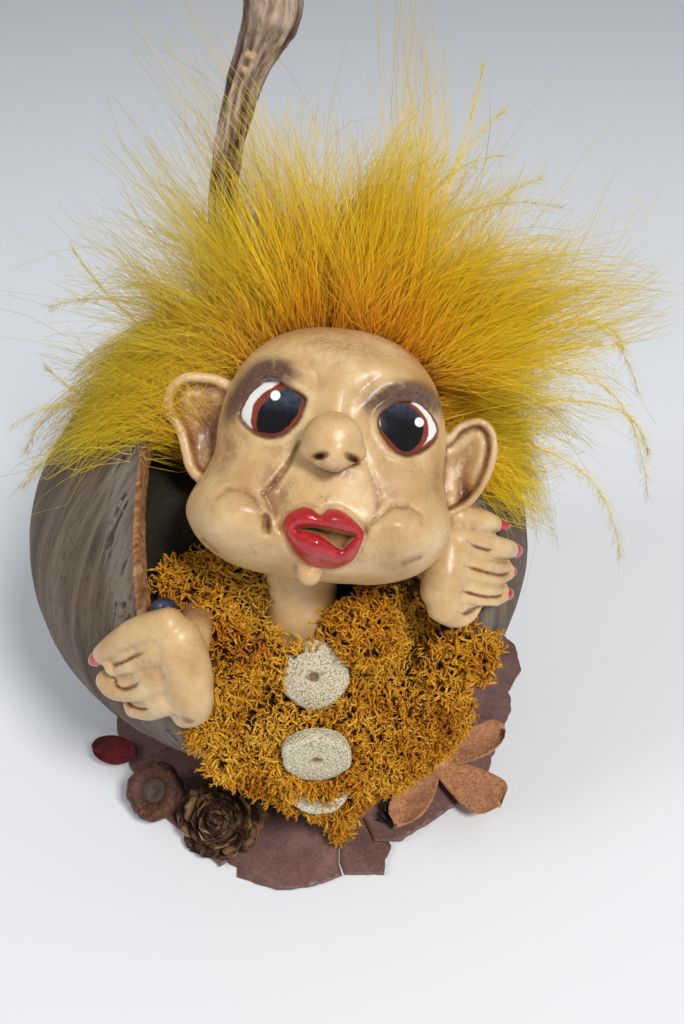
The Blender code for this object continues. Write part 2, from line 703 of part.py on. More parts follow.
def belly_bmesh(grow=0.0, whole=False):
    """The cushion of moss, either whole or only the part in front of the foam."""
    bm = bmesh.new()
    radii = Vector((BELLY_HALF_WIDTH + grow, BELLY_HALF_DEPTH + grow, BELLY_HALF_HEIGHT + grow))
    ball(bm, BELLY_CENTRE, radii, 30, 19)
    if not whole:
        slice_off(bm, POD_CENTRE + OUTWARD * (FOAM_FRONT + SEAT_GAP), -OUTWARD)
    return bm


def belly_front(x, z, grow):
    rest = (1 - ((x - BELLY_CENTRE.x) / (BELLY_HALF_WIDTH + grow)) ** 2
            - ((z - BELLY_CENTRE.z) / (BELLY_HALF_HEIGHT + grow)) ** 2)
    return Vector((x, BELLY_CENTRE.y - (BELLY_HALF_DEPTH + grow) * math.sqrt(max(rest, 0.0)), z))


def button_matrix(height, tilt, sink):
    out = Vector((0.0, -math.cos(tilt), math.sin(tilt)))
    x = BELLY_CENTRE.x - 0.8 * MM
    seat = belly_front(x, height, PLACKET_PROUD)
    turn = out.to_track_quat("Z", "Y").to_matrix().to_4x4()
    return Matrix.Translation(seat + out * (BUTTON_THICKNESS / 2 - sink)) @ turn


def make_button(name, place_in_moss):
    """A turned disc with a rounded edge and a pit in its face, from a profile."""
    half = BUTTON_THICKNESS / 2
    edge = BUTTON_RADIUS
    profile = ((0.0, half - 0.5 * MM), (0.16 * edge, half - 0.4 * MM), (0.3 * edge, half),
               (0.86 * edge, half), (edge, half - 0.9 * MM), (edge, -half + 0.9 * MM),
               (0.9 * edge, -half), (0.0, -half))
    mesh = bpy.data.meshes.new(name)
    mesh.from_pydata([(x, 0.0, z) for x, z in profile], [(k, k + 1) for k in range(len(profile) - 1)], [])
    mesh.materials.append(paint("sand"))
    button = bpy.data.objects.new(name, mesh)
    PARTS.objects.link(button)
    spin(button, 16)
    button.matrix_world = button_matrix(*place_in_moss)
    bm = bmesh.new()
    bmesh.ops.create_cone(bm, cap_ends=True, segments=24, radius1=edge + SEAT_GAP, radius2=edge + SEAT_GAP,
                          depth=BUTTON_THICKNESS + 2 * SEAT_GAP)
    return cutter(name + "_cutter", bm, button_matrix(*place_in_moss))


def spin(target, steps):
    """Turn a profile in the XZ plane about Z."""
    screw = target.modifiers.new("turn", "SCREW")
    screw.axis = "Z"
    screw.angle = 2 * math.pi
    screw.screw_offset = 0.0
    screw.steps = steps
    screw.render_steps = steps
    screw.use_merge_vertices = True
    screw.merge_threshold = 0.01 * MM
    screw.use_smooth_shade = True


def make_tail(tools):
    """The tongue of moss that hangs under the lowest button."""
    top = belly_front(BELLY_CENTRE.x - 1.0 * MM, TAIL_TOP, PLACKET_PROUD)
    top.y += 3.0 * MM
    points = [top + Vector((drift * MM, back * MM, -TAIL_DROP * share)) for drift, back, share in
              ((0.0, 0.0, 0.0), (1.0, 0.5, 0.35), (2.5, 2.0, 0.7), (4.0, 4.5, 1.0))]
    bm = bmesh.new()
    chain(bm, points, [TAIL_RADIUS * share for share in (0.9, 1.0, 0.75, 0.38)])
    tail = place("moss_tail", bm, "moss")
    melt(tail, 0.9 * MM, 0.09)
    subtract(tail, *tools, crossing=True)


# Branch

# Spots of the crooked twig, x, y, z and thickness radius, in millimetres
BRANCH = ((-11.0, 9.0, 78.0, 2.6), (-11.5, 10.5, 100.0, 2.9), (-12.5, 13.0, 120.0, 3.0),
          (-13.0, 17.5, 136.0, 3.1), (-12.0, 21.5, 149.0, 3.2), (-9.5, 24.5, 160.0, 3.3),
          (-6.0, 26.0, 171.0, 3.6), (-1.5, 27.0, 180.0, 4.6), (1.5, 27.0, 187.0, 6.0),
          (1.0, 28.0, 194.0, 4.6), (-1.0, 29.0, 202.0, 3.6))


def branch_bmesh(grow):
    spots = smooth_path([Vector(spot) * MM for spot in BRANCH], 2)
    spots[0].z -= 2 * grow
    return tube_mesh([spot.xyz for spot in spots], [spot.w + grow for spot in spots], 1)


# Plumes

# Rows of feathers: tilt back from the brow, and angles round the face, both in degrees
PLUME_ROWS = (
    (4, (-50, -14, 8, 32, 56)),
    (34, (-104, -82, 20, 44, 68, 90)),
)


def pushed_out(point, radius):
    """Move a point out of the pod, so that what has this radius lies on it."""
    radii = pod_radii(radius + 2 * SEAT_GAP)
    inside = point - POD_CENTRE
    share = Vector((inside.x / radii.x, inside.y / radii.y, inside.z / radii.z)).length
    return POD_CENTRE + inside / share if share < 1 else point


def make_plume(name, tilt, angle, head_tool):
    back, around = math.radians(tilt), math.radians(angle)
    out = Vector((math.cos(back) * math.sin(around), math.sin(back), math.cos(back) * math.cos(around)))
    root = head_skin(out)
    axis = (HEAD.to_3x3() @ out).normalized()
    start = HEAD @ root
    points, radii = [], []
    steps = 7
    for k in range(steps + 1):
        s = k / steps
        swell = math.sin(math.pi * s ** 0.85) if 0 < k < steps else 0.0
        radius = PLUME_ROOT * (0.6 if k == steps else 1.0) + (PLUME_RADIUS - PLUME_ROOT) * swell ** 0.8
        point = start + axis * PLUME_LENGTH * s - Vector((0, 0, PLUME_DROOP * s * s))
        points.append(pushed_out(point, radius))
        radii.append(radius)
    subtract(place(name, tube_mesh(points, radii, 1), "feather"), head_tool)


# Finds round the foot


def on_rosette(spot, height):
    """The point over one of the named spots of the rosette."""
    azimuth, share = math.radians(spot[0]), spot[1]
    return Vector((share * LEAF_RADIUS * math.cos(azimuth), share * LEAF_RADIUS * math.sin(azimuth), height))


def make_cone():
    """A larch cone on its foot: tiers of scales round a spindle."""
    tiers = 4
    segments = 24
    rings = [(0.55, 0.0), (0.86, 0.02)]
    for k in range(tiers):
        low = 0.14 + 0.2 * k
        lip = 1.0 - 0.19 * k
        rings += [(lip, low), (lip * 0.97, low + 0.05), (lip - 0.20, low + 0.06)]
    rings += [(0.12, 0.90)]
    bm = bmesh.new()
    loops = []
    for level, (share, height) in enumerate(rings):
        loop = []
        tier = max(level - 2, 0) // 3
        for s in range(segments):
            angle = 2 * math.pi * s / segments
            scale_count = 7 - tier // 2
            bulge = 1 + (0.10 if level > 1 else 0.03) * math.cos(scale_count * angle + tier * 1.3)
            radius = CONE_RADIUS * share * bulge
            x, y = radius * math.cos(angle), radius * math.sin(angle)
            loop.append(bm.verts.new((x, y, CONE_HEIGHT * height)))
        loops.append(loop)
    for low, high in zip(loops, loops[1:]):
        for s in range(segments):
            n = (s + 1) % segments
            bm.faces.new((low[s], low[n], high[n], high[s]))
    bm.faces.new(loops[0])
    bm.faces.new(loops[-1])
    lean = Matrix.Rotation(math.radians(8), 4, "X") @ Matrix.Rotation(math.radians(-6), 4, "Y")
    raise_by = ROSETTE_TOP + SEAT_GAP + CONE_RADIUS * 0.86 * math.sin(math.radians(8))
    place("larch_cone", bm, "cone", Matrix.Translation(on_rosette(CONE_SPOT, raise_by)) @ lean)


def make_cup():
    """A seed cup with a ring and a pit in its top, turned."""
    r, h = CUP_RADIUS, CUP_HEIGHT
    profile = ((0.0, h - 3.0 * MM), (0.28 * r, h - 2.6 * MM), (0.36 * r, h - 0.8 * MM),
               (0.52 * r, h - 0.6 * MM), (0.58 * r, h - 1.4 * MM), (0.84 * r, h - 0.6 * MM),
               (r, 0.68 * h), (0.99 * r, 0.45 * h),
               (0.8 * r, 0.16 * h), (0.45 * r, 0.0), (0.0, 0.0))
    mesh = bpy.data.meshes.new("acorn_cup")
    mesh.from_pydata([(x, 0.0, z) for x, z in profile], [(k, k + 1) for k in range(len(profile) - 1)], [])
    mesh.materials.append(paint("husk"))
    cup = bpy.data.objects.new("acorn_cup", mesh)
    PARTS.objects.link(cup)
    spin(cup, 18)
    lean = Matrix.Rotation(math.radians(14), 4, "X") @ Matrix.Rotation(math.radians(-10), 4, "Y")
    raise_by = ROSETTE_TOP + SEAT_GAP + 0.45 * CUP_RADIUS * math.sin(math.radians(17))
    cup.matrix_world = Matrix.Translation(on_rosette(CUP_SPOT, raise_by)) @ lean


def make_husk():
    """Four woody valves that open from a stalk."""
    bm = bmesh.new()
    steps = 6
    for azimuth, rise in ((21, 2.0), (-47, 1.0), (-120, 3.0), (130, 3.5)):
        turn = Matrix.Rotation(math.radians(azimuth), 4, "Z")
        for k in range(steps):
            s = (k + 0.5) / steps
            half = HUSK_WIDTH * math.sin(math.pi * (0.12 + 0.80 * s)) ** 0.7
            height = KNOB_RADIUS + rise * MM * math.sin(math.pi * s * 0.8)
            spot = turn @ Vector((HUSK_LENGTH * s, 0, height))
            made = ball(bm, (0, 0, 0), (HUSK_LENGTH / steps * 0.95, half, HUSK_THICKNESS), 12, 8)
            bmesh.ops.transform(bm, matrix=Matrix.Translation(spot) @ turn, verts=made)
    ball(bm, (0, 0, KNOB_RADIUS), (KNOB_RADIUS,) * 3, 14, 10)
    spot = on_rosette(HUSK_SPOT, ROSETTE_TOP + SEAT_GAP)
    husk = place("beech_husk", bm, "husk", Matrix.Translation(spot))
    melt(husk, 0.6 * MM, 0.06)


def make_red_leaf():
    bm = bmesh.new()
    rim = []
    steps = 16
    for k in range(steps):
        angle = 2 * math.pi * k / steps
        reach = 1 - 0.18 * math.cos(3 * angle)
        x, y = PETAL_LENGTH * math.cos(angle), PETAL_WIDTH * math.sin(angle)
        rim.append(bm.verts.new((x * reach, y * reach, 0.0)))
    bm.faces.new(rim)
    spot = on_rosette(PETAL_SPOT, ROSETTE_TOP + SEAT_GAP)
    flat = place("small_red_leaf", bm, "leaf", Matrix.Translation(spot))
    solidify(flat, LEAF_THICKNESS, 1.0)


def build():
    for name, (layer, rim) in LEAVES.items():
        make_leaf(name, layer, rim)
    make_cone()
    make_cup()
    make_husk()
    make_red_leaf()
    make_pod()
    bulk = pod_bulk()
    make_glue_pad(bulk)

    head_tool = cutter("head_cutter", head_bmesh(1.3 * SEAT_GAP), HEAD)
    neck_tool = cutter("neck_cutter", neck_rod(SEAT_GAP))
    dowel_tool = cutter("dowel_cutter", dowel_rod(SEAT_GAP))
    head = place("head", head_bmesh(), "dough", HEAD)
    subtract(head, make_eye(-1, "left", head_tool), make_eye(1, "right", head_tool), dowel_tool)
    make_nose(head_tool)
    make_lip("upper_lip", UPPER_LIP, head_tool)
    make_lip("lower_lip", LOWER_LIP, head_tool)
    make_ear("left", -1, math.radians(-4), head_tool)
    make_ear("right", 1, math.radians(14), head_tool)
    make_chin(head_tool)
    neck = place("neck", neck_rod(0.0), "dough")
    subtract(neck, head_tool, dowel_tool)
    place("neck_dowel", dowel_rod(0.0), "bark")

    wires = []
    hands = []
    for word, fingers, palm, wrist, sink in (
            ("left", LEFT_FINGERS, LEFT_PALM, LEFT_WRIST, 0.0),
            ("right", RIGHT_FINGERS, RIGHT_PALM, RIGHT_WRIST, RIGHT_HAND_SINK)):
        place(word + "_wrist_wire", wire_bmesh(palm, wrist, 0.0), "steel")
        wire_tool = cutter(word + "_wire_cutter", wire_bmesh(palm, wrist, SEAT_GAP))
        wires.append(wire_tool)
        hands.append(make_hand(word, fingers, palm, wrist, sink, (bulk, head_tool, wire_tool)))

    branch_tool = cutter("branch_cutter", branch_bmesh(SEAT_GAP))
    bm = bmesh.new()
    inner = pod_radii(-POD_WALL - FOAM_CLEARANCE)
    ball(bm, POD_CENTRE, inner, 28, 18)
    slice_off(bm, POD_CENTRE + OUTWARD * FOAM_FRONT, OUTWARD)
    slice_off(bm, Vector((0, 0, FOAM_TOP)), Vector((0, 0, 1)))
    foam = place("foam_core", bm, "foam")
    subtract(foam, head_tool, neck_tool, dowel_tool, *wires, *hands, branch_tool)
    place("branch", branch_bmesh(0.0), "bark")

    buttons = [make_button(name, place_in_moss) for name, place_in_moss in BUTTONS.items()]
    subtract(neck, buttons[0])
    for word, side in (("left", -1), ("right", 1)):
        bm = belly_bmesh()
        edge = BELLY_CENTRE + Vector((side * (PLACKET_HALF_WIDTH + SEAT_GAP), 0, 0))
        slice_off(bm, edge, Vector((-side, 0, 0)))
        half = place("moss_" + word, bm, "moss")
        subtract(half, bulk, neck_tool, *hands, *wires)
    bm = belly_bmesh(PLACKET_PROUD)
    for side in (-1, 1):
        slice_off(bm, BELLY_CENTRE + Vector((side * PLACKET_HALF_WIDTH, 0, 0)), Vector((side, 0, 0)))
    placket = place("moss_placket", bm, "moss")
    subtract(placket, bulk, neck_tool, dowel_tool, *buttons, crossing=True)
    belly_tool = cutter("belly_cutter", belly_bmesh(PLACKET_PROUD + SEAT_GAP, whole=True))
    make_tail((belly_tool, bulk, buttons[2]))
    foam_front = bmesh.new()
    ball(foam_front, POD_CENTRE, inner, 28, 18)
    slice_off(foam_front, POD_CENTRE + OUTWARD * (FOAM_FRONT + SEAT_GAP), OUTWARD)
    foam_tool = cutter("foam_cutter", foam_front)
    for word, spot in (("left", SHOULDER_LEFT), ("right", SHOULDER_RIGHT)):
        bm = bmesh.new()
        ball(bm, spot, (SHOULDER_RADIUS,) * 3, 14, 9)
        tuft = place("moss_shoulder_" + word, bm, "moss")
        subtract(tuft, foam_tool, belly_tool, bulk, head_tool, neck_tool, buttons[0], *hands, *wires)
    bm = bmesh.new()
    ball(bm, on_pod(BERRY_ACROSS, BERRY_HEIGHT, -BERRY_SINK), (BERRY_RADIUS,) * 3, 14, 8)
    place("berry", bm, "berry")

    for row, (tilt, angles) in enumerate(PLUME_ROWS):
        for k, angle in enumerate(angles):
            make_plume("plume_%d_%02d" % (row + 1, k + 1), tilt, angle, head_tool)


build()
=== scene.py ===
"""Looks of the dough gnome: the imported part's frame, dressed in modelled skin, down, moss, bark and leaf.

Metres, +Z up, and the gnome faces -Y. The face is laid out in the head's own axes, which are the
part's: +X to the viewer's right, -Y out of the face and +Z to the crown. Lists of face points are
in millimetres in those axes, as x and z.
"""

import math

import bmesh
import bpy
import numpy as np
from mathutils import Matrix, Vector, geometry
from mathutils.bvhtree import BVHTree


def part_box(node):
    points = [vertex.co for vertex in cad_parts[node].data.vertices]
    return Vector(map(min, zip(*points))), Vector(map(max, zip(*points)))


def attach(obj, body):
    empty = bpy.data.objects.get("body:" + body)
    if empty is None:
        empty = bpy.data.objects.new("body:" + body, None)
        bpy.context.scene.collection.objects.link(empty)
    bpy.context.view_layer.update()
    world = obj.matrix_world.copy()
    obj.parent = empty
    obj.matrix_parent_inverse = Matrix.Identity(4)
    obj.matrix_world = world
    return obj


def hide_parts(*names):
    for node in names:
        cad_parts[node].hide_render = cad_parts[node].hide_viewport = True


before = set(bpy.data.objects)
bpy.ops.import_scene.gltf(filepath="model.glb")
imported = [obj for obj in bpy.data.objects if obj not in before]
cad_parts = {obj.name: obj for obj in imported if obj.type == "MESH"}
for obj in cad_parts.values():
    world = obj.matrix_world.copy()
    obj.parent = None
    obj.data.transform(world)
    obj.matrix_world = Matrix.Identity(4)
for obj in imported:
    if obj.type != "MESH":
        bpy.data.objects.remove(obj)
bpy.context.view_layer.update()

MM = 0.001

# The part's own sizes
HEAD_CENTRE = np.array((10.0, -22.0, 107.8)) * MM
HEAD_TILT = math.radians(38.0)
HEAD_ROLL = math.radians(8.2)
HEAD_HALF = np.array((24.5, 22.0, 27.0)) * MM

# Numbers and arrays


def ease(value, low, high):
    """0 below low, 1 above high and smooth between them."""
    t = np.clip((value - low) / (high - low), 0.0, 1.0)
    return t * t * (3 - 2 * t)


def unit(vectors):
    return vectors / np.maximum(np.linalg.norm(vectors, axis=-1, keepdims=True), 1e-12)


def lattice_value(cell, seed):
    """A repeatable value from 0 to 1 for each cell of a grid."""
    mixed = cell[..., 0] * 374761393 + cell[..., 1] * 668265263 + cell[..., 2] * 1440662683 + seed * 974634777
    mixed = ((mixed ^ (mixed >> 13)) * 1274126177) & 0xFFFFFFFF
    return ((mixed ^ (mixed >> 16)) & 0xFFFF) / 65535.0


def noise(points, size, seed=0, octaves=1):
    """Smooth noise from -1 to 1 whose lumps are about this size."""
    total = np.zeros(len(points))
    reach = 0.0
    for octave in range(octaves):
        spot = points / (size / 2 ** octave) + 17.3 * octave
        cell = np.floor(spot).astype(np.int64)
        part = spot - cell
        part = part * part * (3 - 2 * part)
        value = np.zeros(len(points))
        for corner in range(8):
            step = np.array((corner & 1, corner >> 1 & 1, corner >> 2 & 1))
            weight = np.prod(np.where(step, part, 1 - part), axis=1)
            value += weight * lattice_value(cell + step, seed + octave)
        total += (2 * value - 1) / 2 ** octave
        reach += 1 / 2 ** octave
    return total / reach


def line_distance(x, z, line, closed=False):
    """The distance of each point x, z from a line through points."""
    ends = list(zip(line, line[1:])) + ([(line[-1], line[0])] if closed else [])
    nearest = np.full(len(x), 1e9)
    for (x0, z0), (x1, z1) in ends:
        run_x, run_z = x1 - x0, z1 - z0
        along = ((x - x0) * run_x + (z - z0) * run_z) / (run_x ** 2 + run_z ** 2 + 1e-12)
        along = np.clip(along, 0.0, 1.0)
        nearest = np.minimum(nearest, np.hypot(x - x0 - along * run_x, z - z0 - along * run_z))
    return nearest


def inside(x, z, outline):
    found = np.zeros(len(x), bool)
    for (x0, z0), (x1, z1) in zip(outline, outline[1:] + outline[:1]):
        crosses = (z0 > z) != (z1 > z)
        slope = (x1 - x0) / (z1 - z0) if z1 != z0 else 0.0
        found ^= crosses & (x < x0 + (z - z0) * slope)
    return found


def outline_depth(x, z, outline):
    """Distance from an outline, negative inside it."""
    gap = line_distance(x, z, outline, closed=True)
    return np.where(inside(x, z, outline), -gap, gap)


def smooth_line(points, steps=4, closed=False):
    """A Catmull-Rom curve through points of any size, as an array."""
    known = [np.array(point, float) for point in points]
    padded = [known[-1]] + known + known[:2] if closed else [known[0]] + known + [known[-1]]
    path = []
    for k in range(1, len(padded) - 2):
        a, b, c, d = padded[k - 1:k + 3]
        for t in np.arange(steps) / steps:
            path.append(0.5 * (2 * b + (c - a) * t + (2 * a - 5 * b + 4 * c - d) * t * t
                               + (3 * b - a - 3 * c + d) * t ** 3))
    if not closed:
        path.append(known[-1])
    return np.array(path)


def peak(gap, width):
    """1 where the gap is 0, and less to both sides of it."""
    return np.exp(-(gap / width) ** 2)


def angles_round(sides):
    return 2 * np.pi * np.arange(sides) / sides


def square_to(axis, away):
    """Two directions that stand square to an axis and to each other."""
    side = unit(np.cross(axis, away))
    return side, np.cross(axis, side)


def ring_of(side, other, angle):
    """Directions at these angles, from two that stand square to each other."""
    return side[..., None, :] * np.cos(angle)[:, None] + other[..., None, :] * np.sin(angle)[:, None]


# Meshes


# Voxel sizes of the skins that are fused from lumps
HEAD_VOXEL = 0.45 * MM
HAND_VOXEL = 0.33 * MM
MOSS_VOXEL = 1.0 * MM
POD_VOXEL = 1.03 * MM


def mesh_of(name, bm):
    """A mesh made from a bmesh, which is freed."""
    mesh = bpy.data.meshes.new(name)
    bm.to_mesh(mesh)
    bm.free()
    return mesh


def ring_numbers(rings, sides):
    return np.arange(rings * sides).reshape(rings, sides)


def walls_of(numbers, flip=False):
    """The faces between neighbouring rings of points, given by the points' numbers."""
    low, high = numbers[..., :-1, :], numbers[..., 1:, :]
    corners = (low, high, np.roll(high, -1, -1), np.roll(low, -1, -1))
    if flip:
        corners = corners[:1] + corners[:0:-1]
    return np.stack(corners, -1).reshape(-1, 4)


def fan_of(ring, hub, flip=False):
    """Triangles from a hub point to a ring of points, given by their numbers."""
    turned = np.roll(ring, -1)
    pair = (turned, ring) if flip else (ring, turned)
    return np.stack((np.full(len(ring), hub), *pair), -1)


def turned_mesh(name, points, rings, flip=False):
    """A closed mesh of rings of points, whose last two points are the hubs of its ends."""
    count = len(points) - 2
    numbers = ring_numbers(rings, count // rings)
    near, far = fan_of(numbers[0], count, flip), fan_of(numbers[-1], count + 1, not flip)
    return mesh_from(name, points, walls_of(numbers, flip), near, far)


def mesh_from(name, points, *face_sets):
    """A mesh from an array of points and arrays of faces, each array with its own number of corners."""
    mesh = bpy.data.meshes.new(name)
    mesh.vertices.add(len(points))
    mesh.vertices.foreach_set("co", np.asarray(points, np.float32).ravel())
    corners = np.concatenate([faces.ravel() for faces in face_sets]).astype(np.int32)
    sizes = np.concatenate([np.full(len(faces), faces.shape[1]) for faces in face_sets])
    mesh.loops.add(len(corners))
    mesh.loops.foreach_set("vertex_index", corners)
    mesh.polygons.add(len(sizes))
    mesh.polygons.foreach_set("loop_start", (np.cumsum(sizes) - sizes).astype(np.int32))
    mesh.update(calc_edges=True)
    mesh.shade_smooth()
    return mesh


def points_of(mesh):
    flat = np.zeros(len(mesh.vertices) * 3, np.float32)
    mesh.vertices.foreach_get("co", flat)
    return flat.reshape(-1, 3).astype(float)


def set_points(mesh, points):
    mesh.vertices.foreach_set("co", np.asarray(points, np.float32).ravel())
    mesh.update()


def edges_of(mesh):
    flat = np.zeros(len(mesh.edges) * 2, np.int32)
    mesh.edges.foreach_get("vertices", flat)
    return flat.reshape(-1, 2)


def normals_of(mesh):
    flat = np.zeros(len(mesh.vertices) * 3, np.float32)
    mesh.vertex_normals.foreach_get("vector", flat)
    return flat.reshape(-1, 3).astype(float)


def relaxed(values, edges, rounds):
    """Values at a mesh's points, moved half way to their neighbours' mean a number of times."""
    values = values.astype(float)
    columns = values.reshape(len(values), -1)
    low, high = edges[:, 0], edges[:, 1]
    count = np.bincount(low, minlength=len(values)) + np.bincount(high, minlength=len(values))
    count = np.maximum(count, 1)
    for _ in range(rounds):
        for k in range(columns.shape[1]):
            total = np.bincount(low, columns[high, k], len(values))
            total = total + np.bincount(high, columns[low, k], len(values))
            columns[:, k] += 0.5 * (total / count - columns[:, k])
    return columns.reshape(values.shape)


def hollows(mesh, rounds):
    """How far each point lies under the averaged surface, in millimetres."""
    points = points_of(mesh)
    return np.einsum("ij,ij->i", relaxed(points, edges_of(mesh), rounds) - points, normals_of(mesh)) / MM


def store(mesh, **fields):
    """Keep numbers or colours for each point, which the material reads."""
    for name, values in fields.items():
        kind, field = ("FLOAT", "value") if values.ndim == 1 else ("FLOAT_COLOR", "color")
        if values.ndim == 2:
            values = np.column_stack((values, np.ones(len(values))))
        layer = mesh.attributes.new(name, kind, "POINT")
        layer.data.foreach_set(field, values.astype(np.float32).ravel())


def fused(bm, voxel, cutter=None):
    """Overlapping closed lumps fused into one skin, with a cutter's shape taken away first."""
    meshes = [mesh_of("lumps", bm)] + ([mesh_of("cutter", cutter)] if cutter else [])
    objects = [bpy.data.objects.new(mesh.name, mesh) for mesh in meshes]
    for obj in objects:
        bpy.context.scene.collection.objects.link(obj)
    lumps = objects[0]
    if cutter:
        carve = lumps.modifiers.new("carve", "BOOLEAN")
        carve.object = objects[1]
        carve.solver = "EXACT"
    fuse = lumps.modifiers.new("fuse", "REMESH")
    fuse.mode = "VOXEL"
    fuse.voxel_size = voxel
    bpy.context.view_layer.update()
    skin = bpy.data.meshes.new_from_object(lumps.evaluated_get(bpy.context.evaluated_depsgraph_get()))
    for obj, mesh in zip(objects, meshes):
        bpy.data.objects.remove(obj)
        bpy.data.meshes.remove(mesh)
    return skin


def refined(mesh, chooser):
    """Split the faces whose centres the chooser picks."""
    bm = bmesh.new()
    bm.from_mesh(mesh)
    centres = np.array([face.calc_center_median() for face in bm.faces])
    chosen = chooser(centres)
    edges = {edge for face, picked in zip(bm.faces, chosen) if picked for edge in face.edges}
    bmesh.ops.subdivide_edges(bm, edges=list(edges), cuts=1, use_grid_fill=True)
    bm.to_mesh(mesh)
    bm.free()
    return mesh


def ball(bm, centre, radii, subdivisions):
    made = bmesh.ops.create_icosphere(bm, subdivisions=subdivisions, radius=1.0)["verts"]
    shape = Matrix.Translation(Vector(centre)) @ Matrix.Diagonal((*radii, 1.0))
    bmesh.ops.transform(bm, matrix=shape, verts=made)
    return made


def tubes(name, paths, radii, sides, **values):
    """One mesh of many closed tubes: paths are strands by points by 3, radii strands by points."""
    strands, steps = radii.shape
    tangent = unit(np.gradient(paths, axis=1))
    mean = unit(tangent.mean(axis=1))
    away = np.eye(3)[np.argmin(np.abs(mean), axis=1)][:, None, :]
    ring = ring_of(*square_to(tangent, away), angles_round(sides))
    points = (paths[:, :, None, :] + ring * radii[:, :, None, None]).reshape(-1, 3)
    numbers = np.arange(strands * steps * sides).reshape(strands, steps, sides)
    mesh = mesh_from(name, points, walls_of(numbers), numbers[:, 0], numbers[:, -1, ::-1])
    store(mesh, **{label: np.broadcast_to(value[..., None], numbers.shape).reshape(-1)
                   for label, value in values.items()})
    return mesh


# Materials


def srgb(red, green, blue):
    """A colour as it is read from a picture, made linear."""
    linear = [c / 255 / 12.92 if c <= 10 else ((c / 255 + 0.055) / 1.055) ** 2.4 for c in (red, green, blue)]
    return (*linear, 1.0)


# A colour mix node's sockets for the share and the two colours, and its colour output
MIX_COLOUR_INPUTS = (0, 6, 7)
MIX_COLOUR_OUTPUT = 2


class Finish:
    """One procedural material. Each method adds a node and gives its output."""

    def __init__(self, name, **sockets):
        self.material = bpy.data.materials.new(name)
        self.material.use_nodes = True
        self.tree = self.material.node_tree
        self.shader = self.tree.nodes["Principled BSDF"]
        for socket, value in sockets.items():
            self.put(self.shader.inputs[socket.replace("_", " ").title().replace("Ior", "IOR")], value)

    def put(self, socket, value):
        """Link an output to a socket or set its constant. A colour is given as it is read from a picture."""
        if isinstance(value, bpy.types.NodeSocket):
            self.tree.links.new(value, socket)
        else:
            socket.default_value = srgb(*value) if socket.type == "RGBA" else value

    def add(self, kind, inputs, output=0, **settings):
        made = self.tree.nodes.new(kind)
        for setting, value in settings.items():
            setattr(made, setting, value)
        for socket, value in inputs.items():
            self.put(made.inputs[socket], value)
        return made.outputs[output]

    def place(self, stretch=(1, 1, 1), field=None):
        """Coordinates in metres, from the object or from a stored colour, stretched."""
        start = self.read(field, "Vector") if field else self.add("ShaderNodeTexCoord", {}, "Object")
        return self.add("ShaderNodeMapping", {"Vector": start, "Scale": stretch})

    def read(self, field, output="Fac"):
        return self.add("ShaderNodeAttribute", {}, output, attribute_name=field)

    def cloud(self, size, detail=3.0, roughness=0.55, vector=None, distortion=0.0):
        """Noise from 0 to 1 whose lumps are about this size in metres."""
        inputs = {"Scale": 1 / size, "Detail": detail, "Roughness": roughness, "Distortion": distortion,
                  "Vector": vector or self.place()}
        return self.add("ShaderNodeTexNoise", inputs, "Fac")

    def cells(self, size, feature="F1"):
        inputs = {"Scale": 1 / size, "Vector": self.place()}
        return self.add("ShaderNodeTexVoronoi", inputs, "Distance", feature=feature)

    def span(self, value, low, high, start=0.0, end=1.0):
        """Low and high of a value mapped to start and end, smoothly."""
        inputs = {"Value": value, "From Min": low, "From Max": high, "To Min": start, "To Max": end}
        return self.add("ShaderNodeMapRange", inputs, "Result", interpolation_type="SMOOTHSTEP")

    def calculate(self, operation, a, b=0.0):
        return self.add("ShaderNodeMath", {0: a, 1: b}, operation=operation)

    def blend(self, share, a, b):
        """Colour a where the share is 0 and colour b where it is 1."""
        made = self.tree.nodes.new("ShaderNodeMix")
        made.data_type = "RGBA"
        for socket, value in zip(MIX_COLOUR_INPUTS, (share, a, b)):
            self.put(made.inputs[socket], value)
        return made.outputs[MIX_COLOUR_OUTPUT]

    def ramp(self, value, *stops):
        made = self.tree.nodes.new("ShaderNodeValToRGB")
        stairs = made.color_ramp.elements
        while len(stairs) < len(stops):
            stairs.new(0.5)
        for stair, (place, colour) in zip(stairs, stops):
            stair.position = place
            stair.color = srgb(*colour)
        self.put(made.inputs[0], value)
        return made.outputs[0]

    def relief(self, height, depth, strength=1.0, under=None):
        """A bump of this depth in metres."""
        inputs = {"Height": height, "Distance": depth, "Strength": strength}
        if under:
            inputs["Normal"] = under
        return self.add("ShaderNodeBump", inputs)

    def dress(self, colour, roughness, normal=None):
        """Join the colour, roughness and bump to the shader, and give the material."""
        for socket, value in (("Base Color", colour), ("Roughness", roughness), ("Normal", normal)):
            if value is not None:
                self.put(self.shader.inputs[socket], value)
        return self.material


def piece(name, mesh, finish, stands_for=(), matrix=None):
    """Put a mesh in the scene as a piece of the part, in place of CAD nodes."""
    obj = bpy.data.objects.new(name, mesh)
    obj.data.materials.append(finish)
    bpy.context.scene.collection.objects.link(obj)
    if matrix:
        mesh.transform(matrix)
    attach(obj, "root")
    if stands_for:
        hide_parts(*stands_for)


# The head's shape


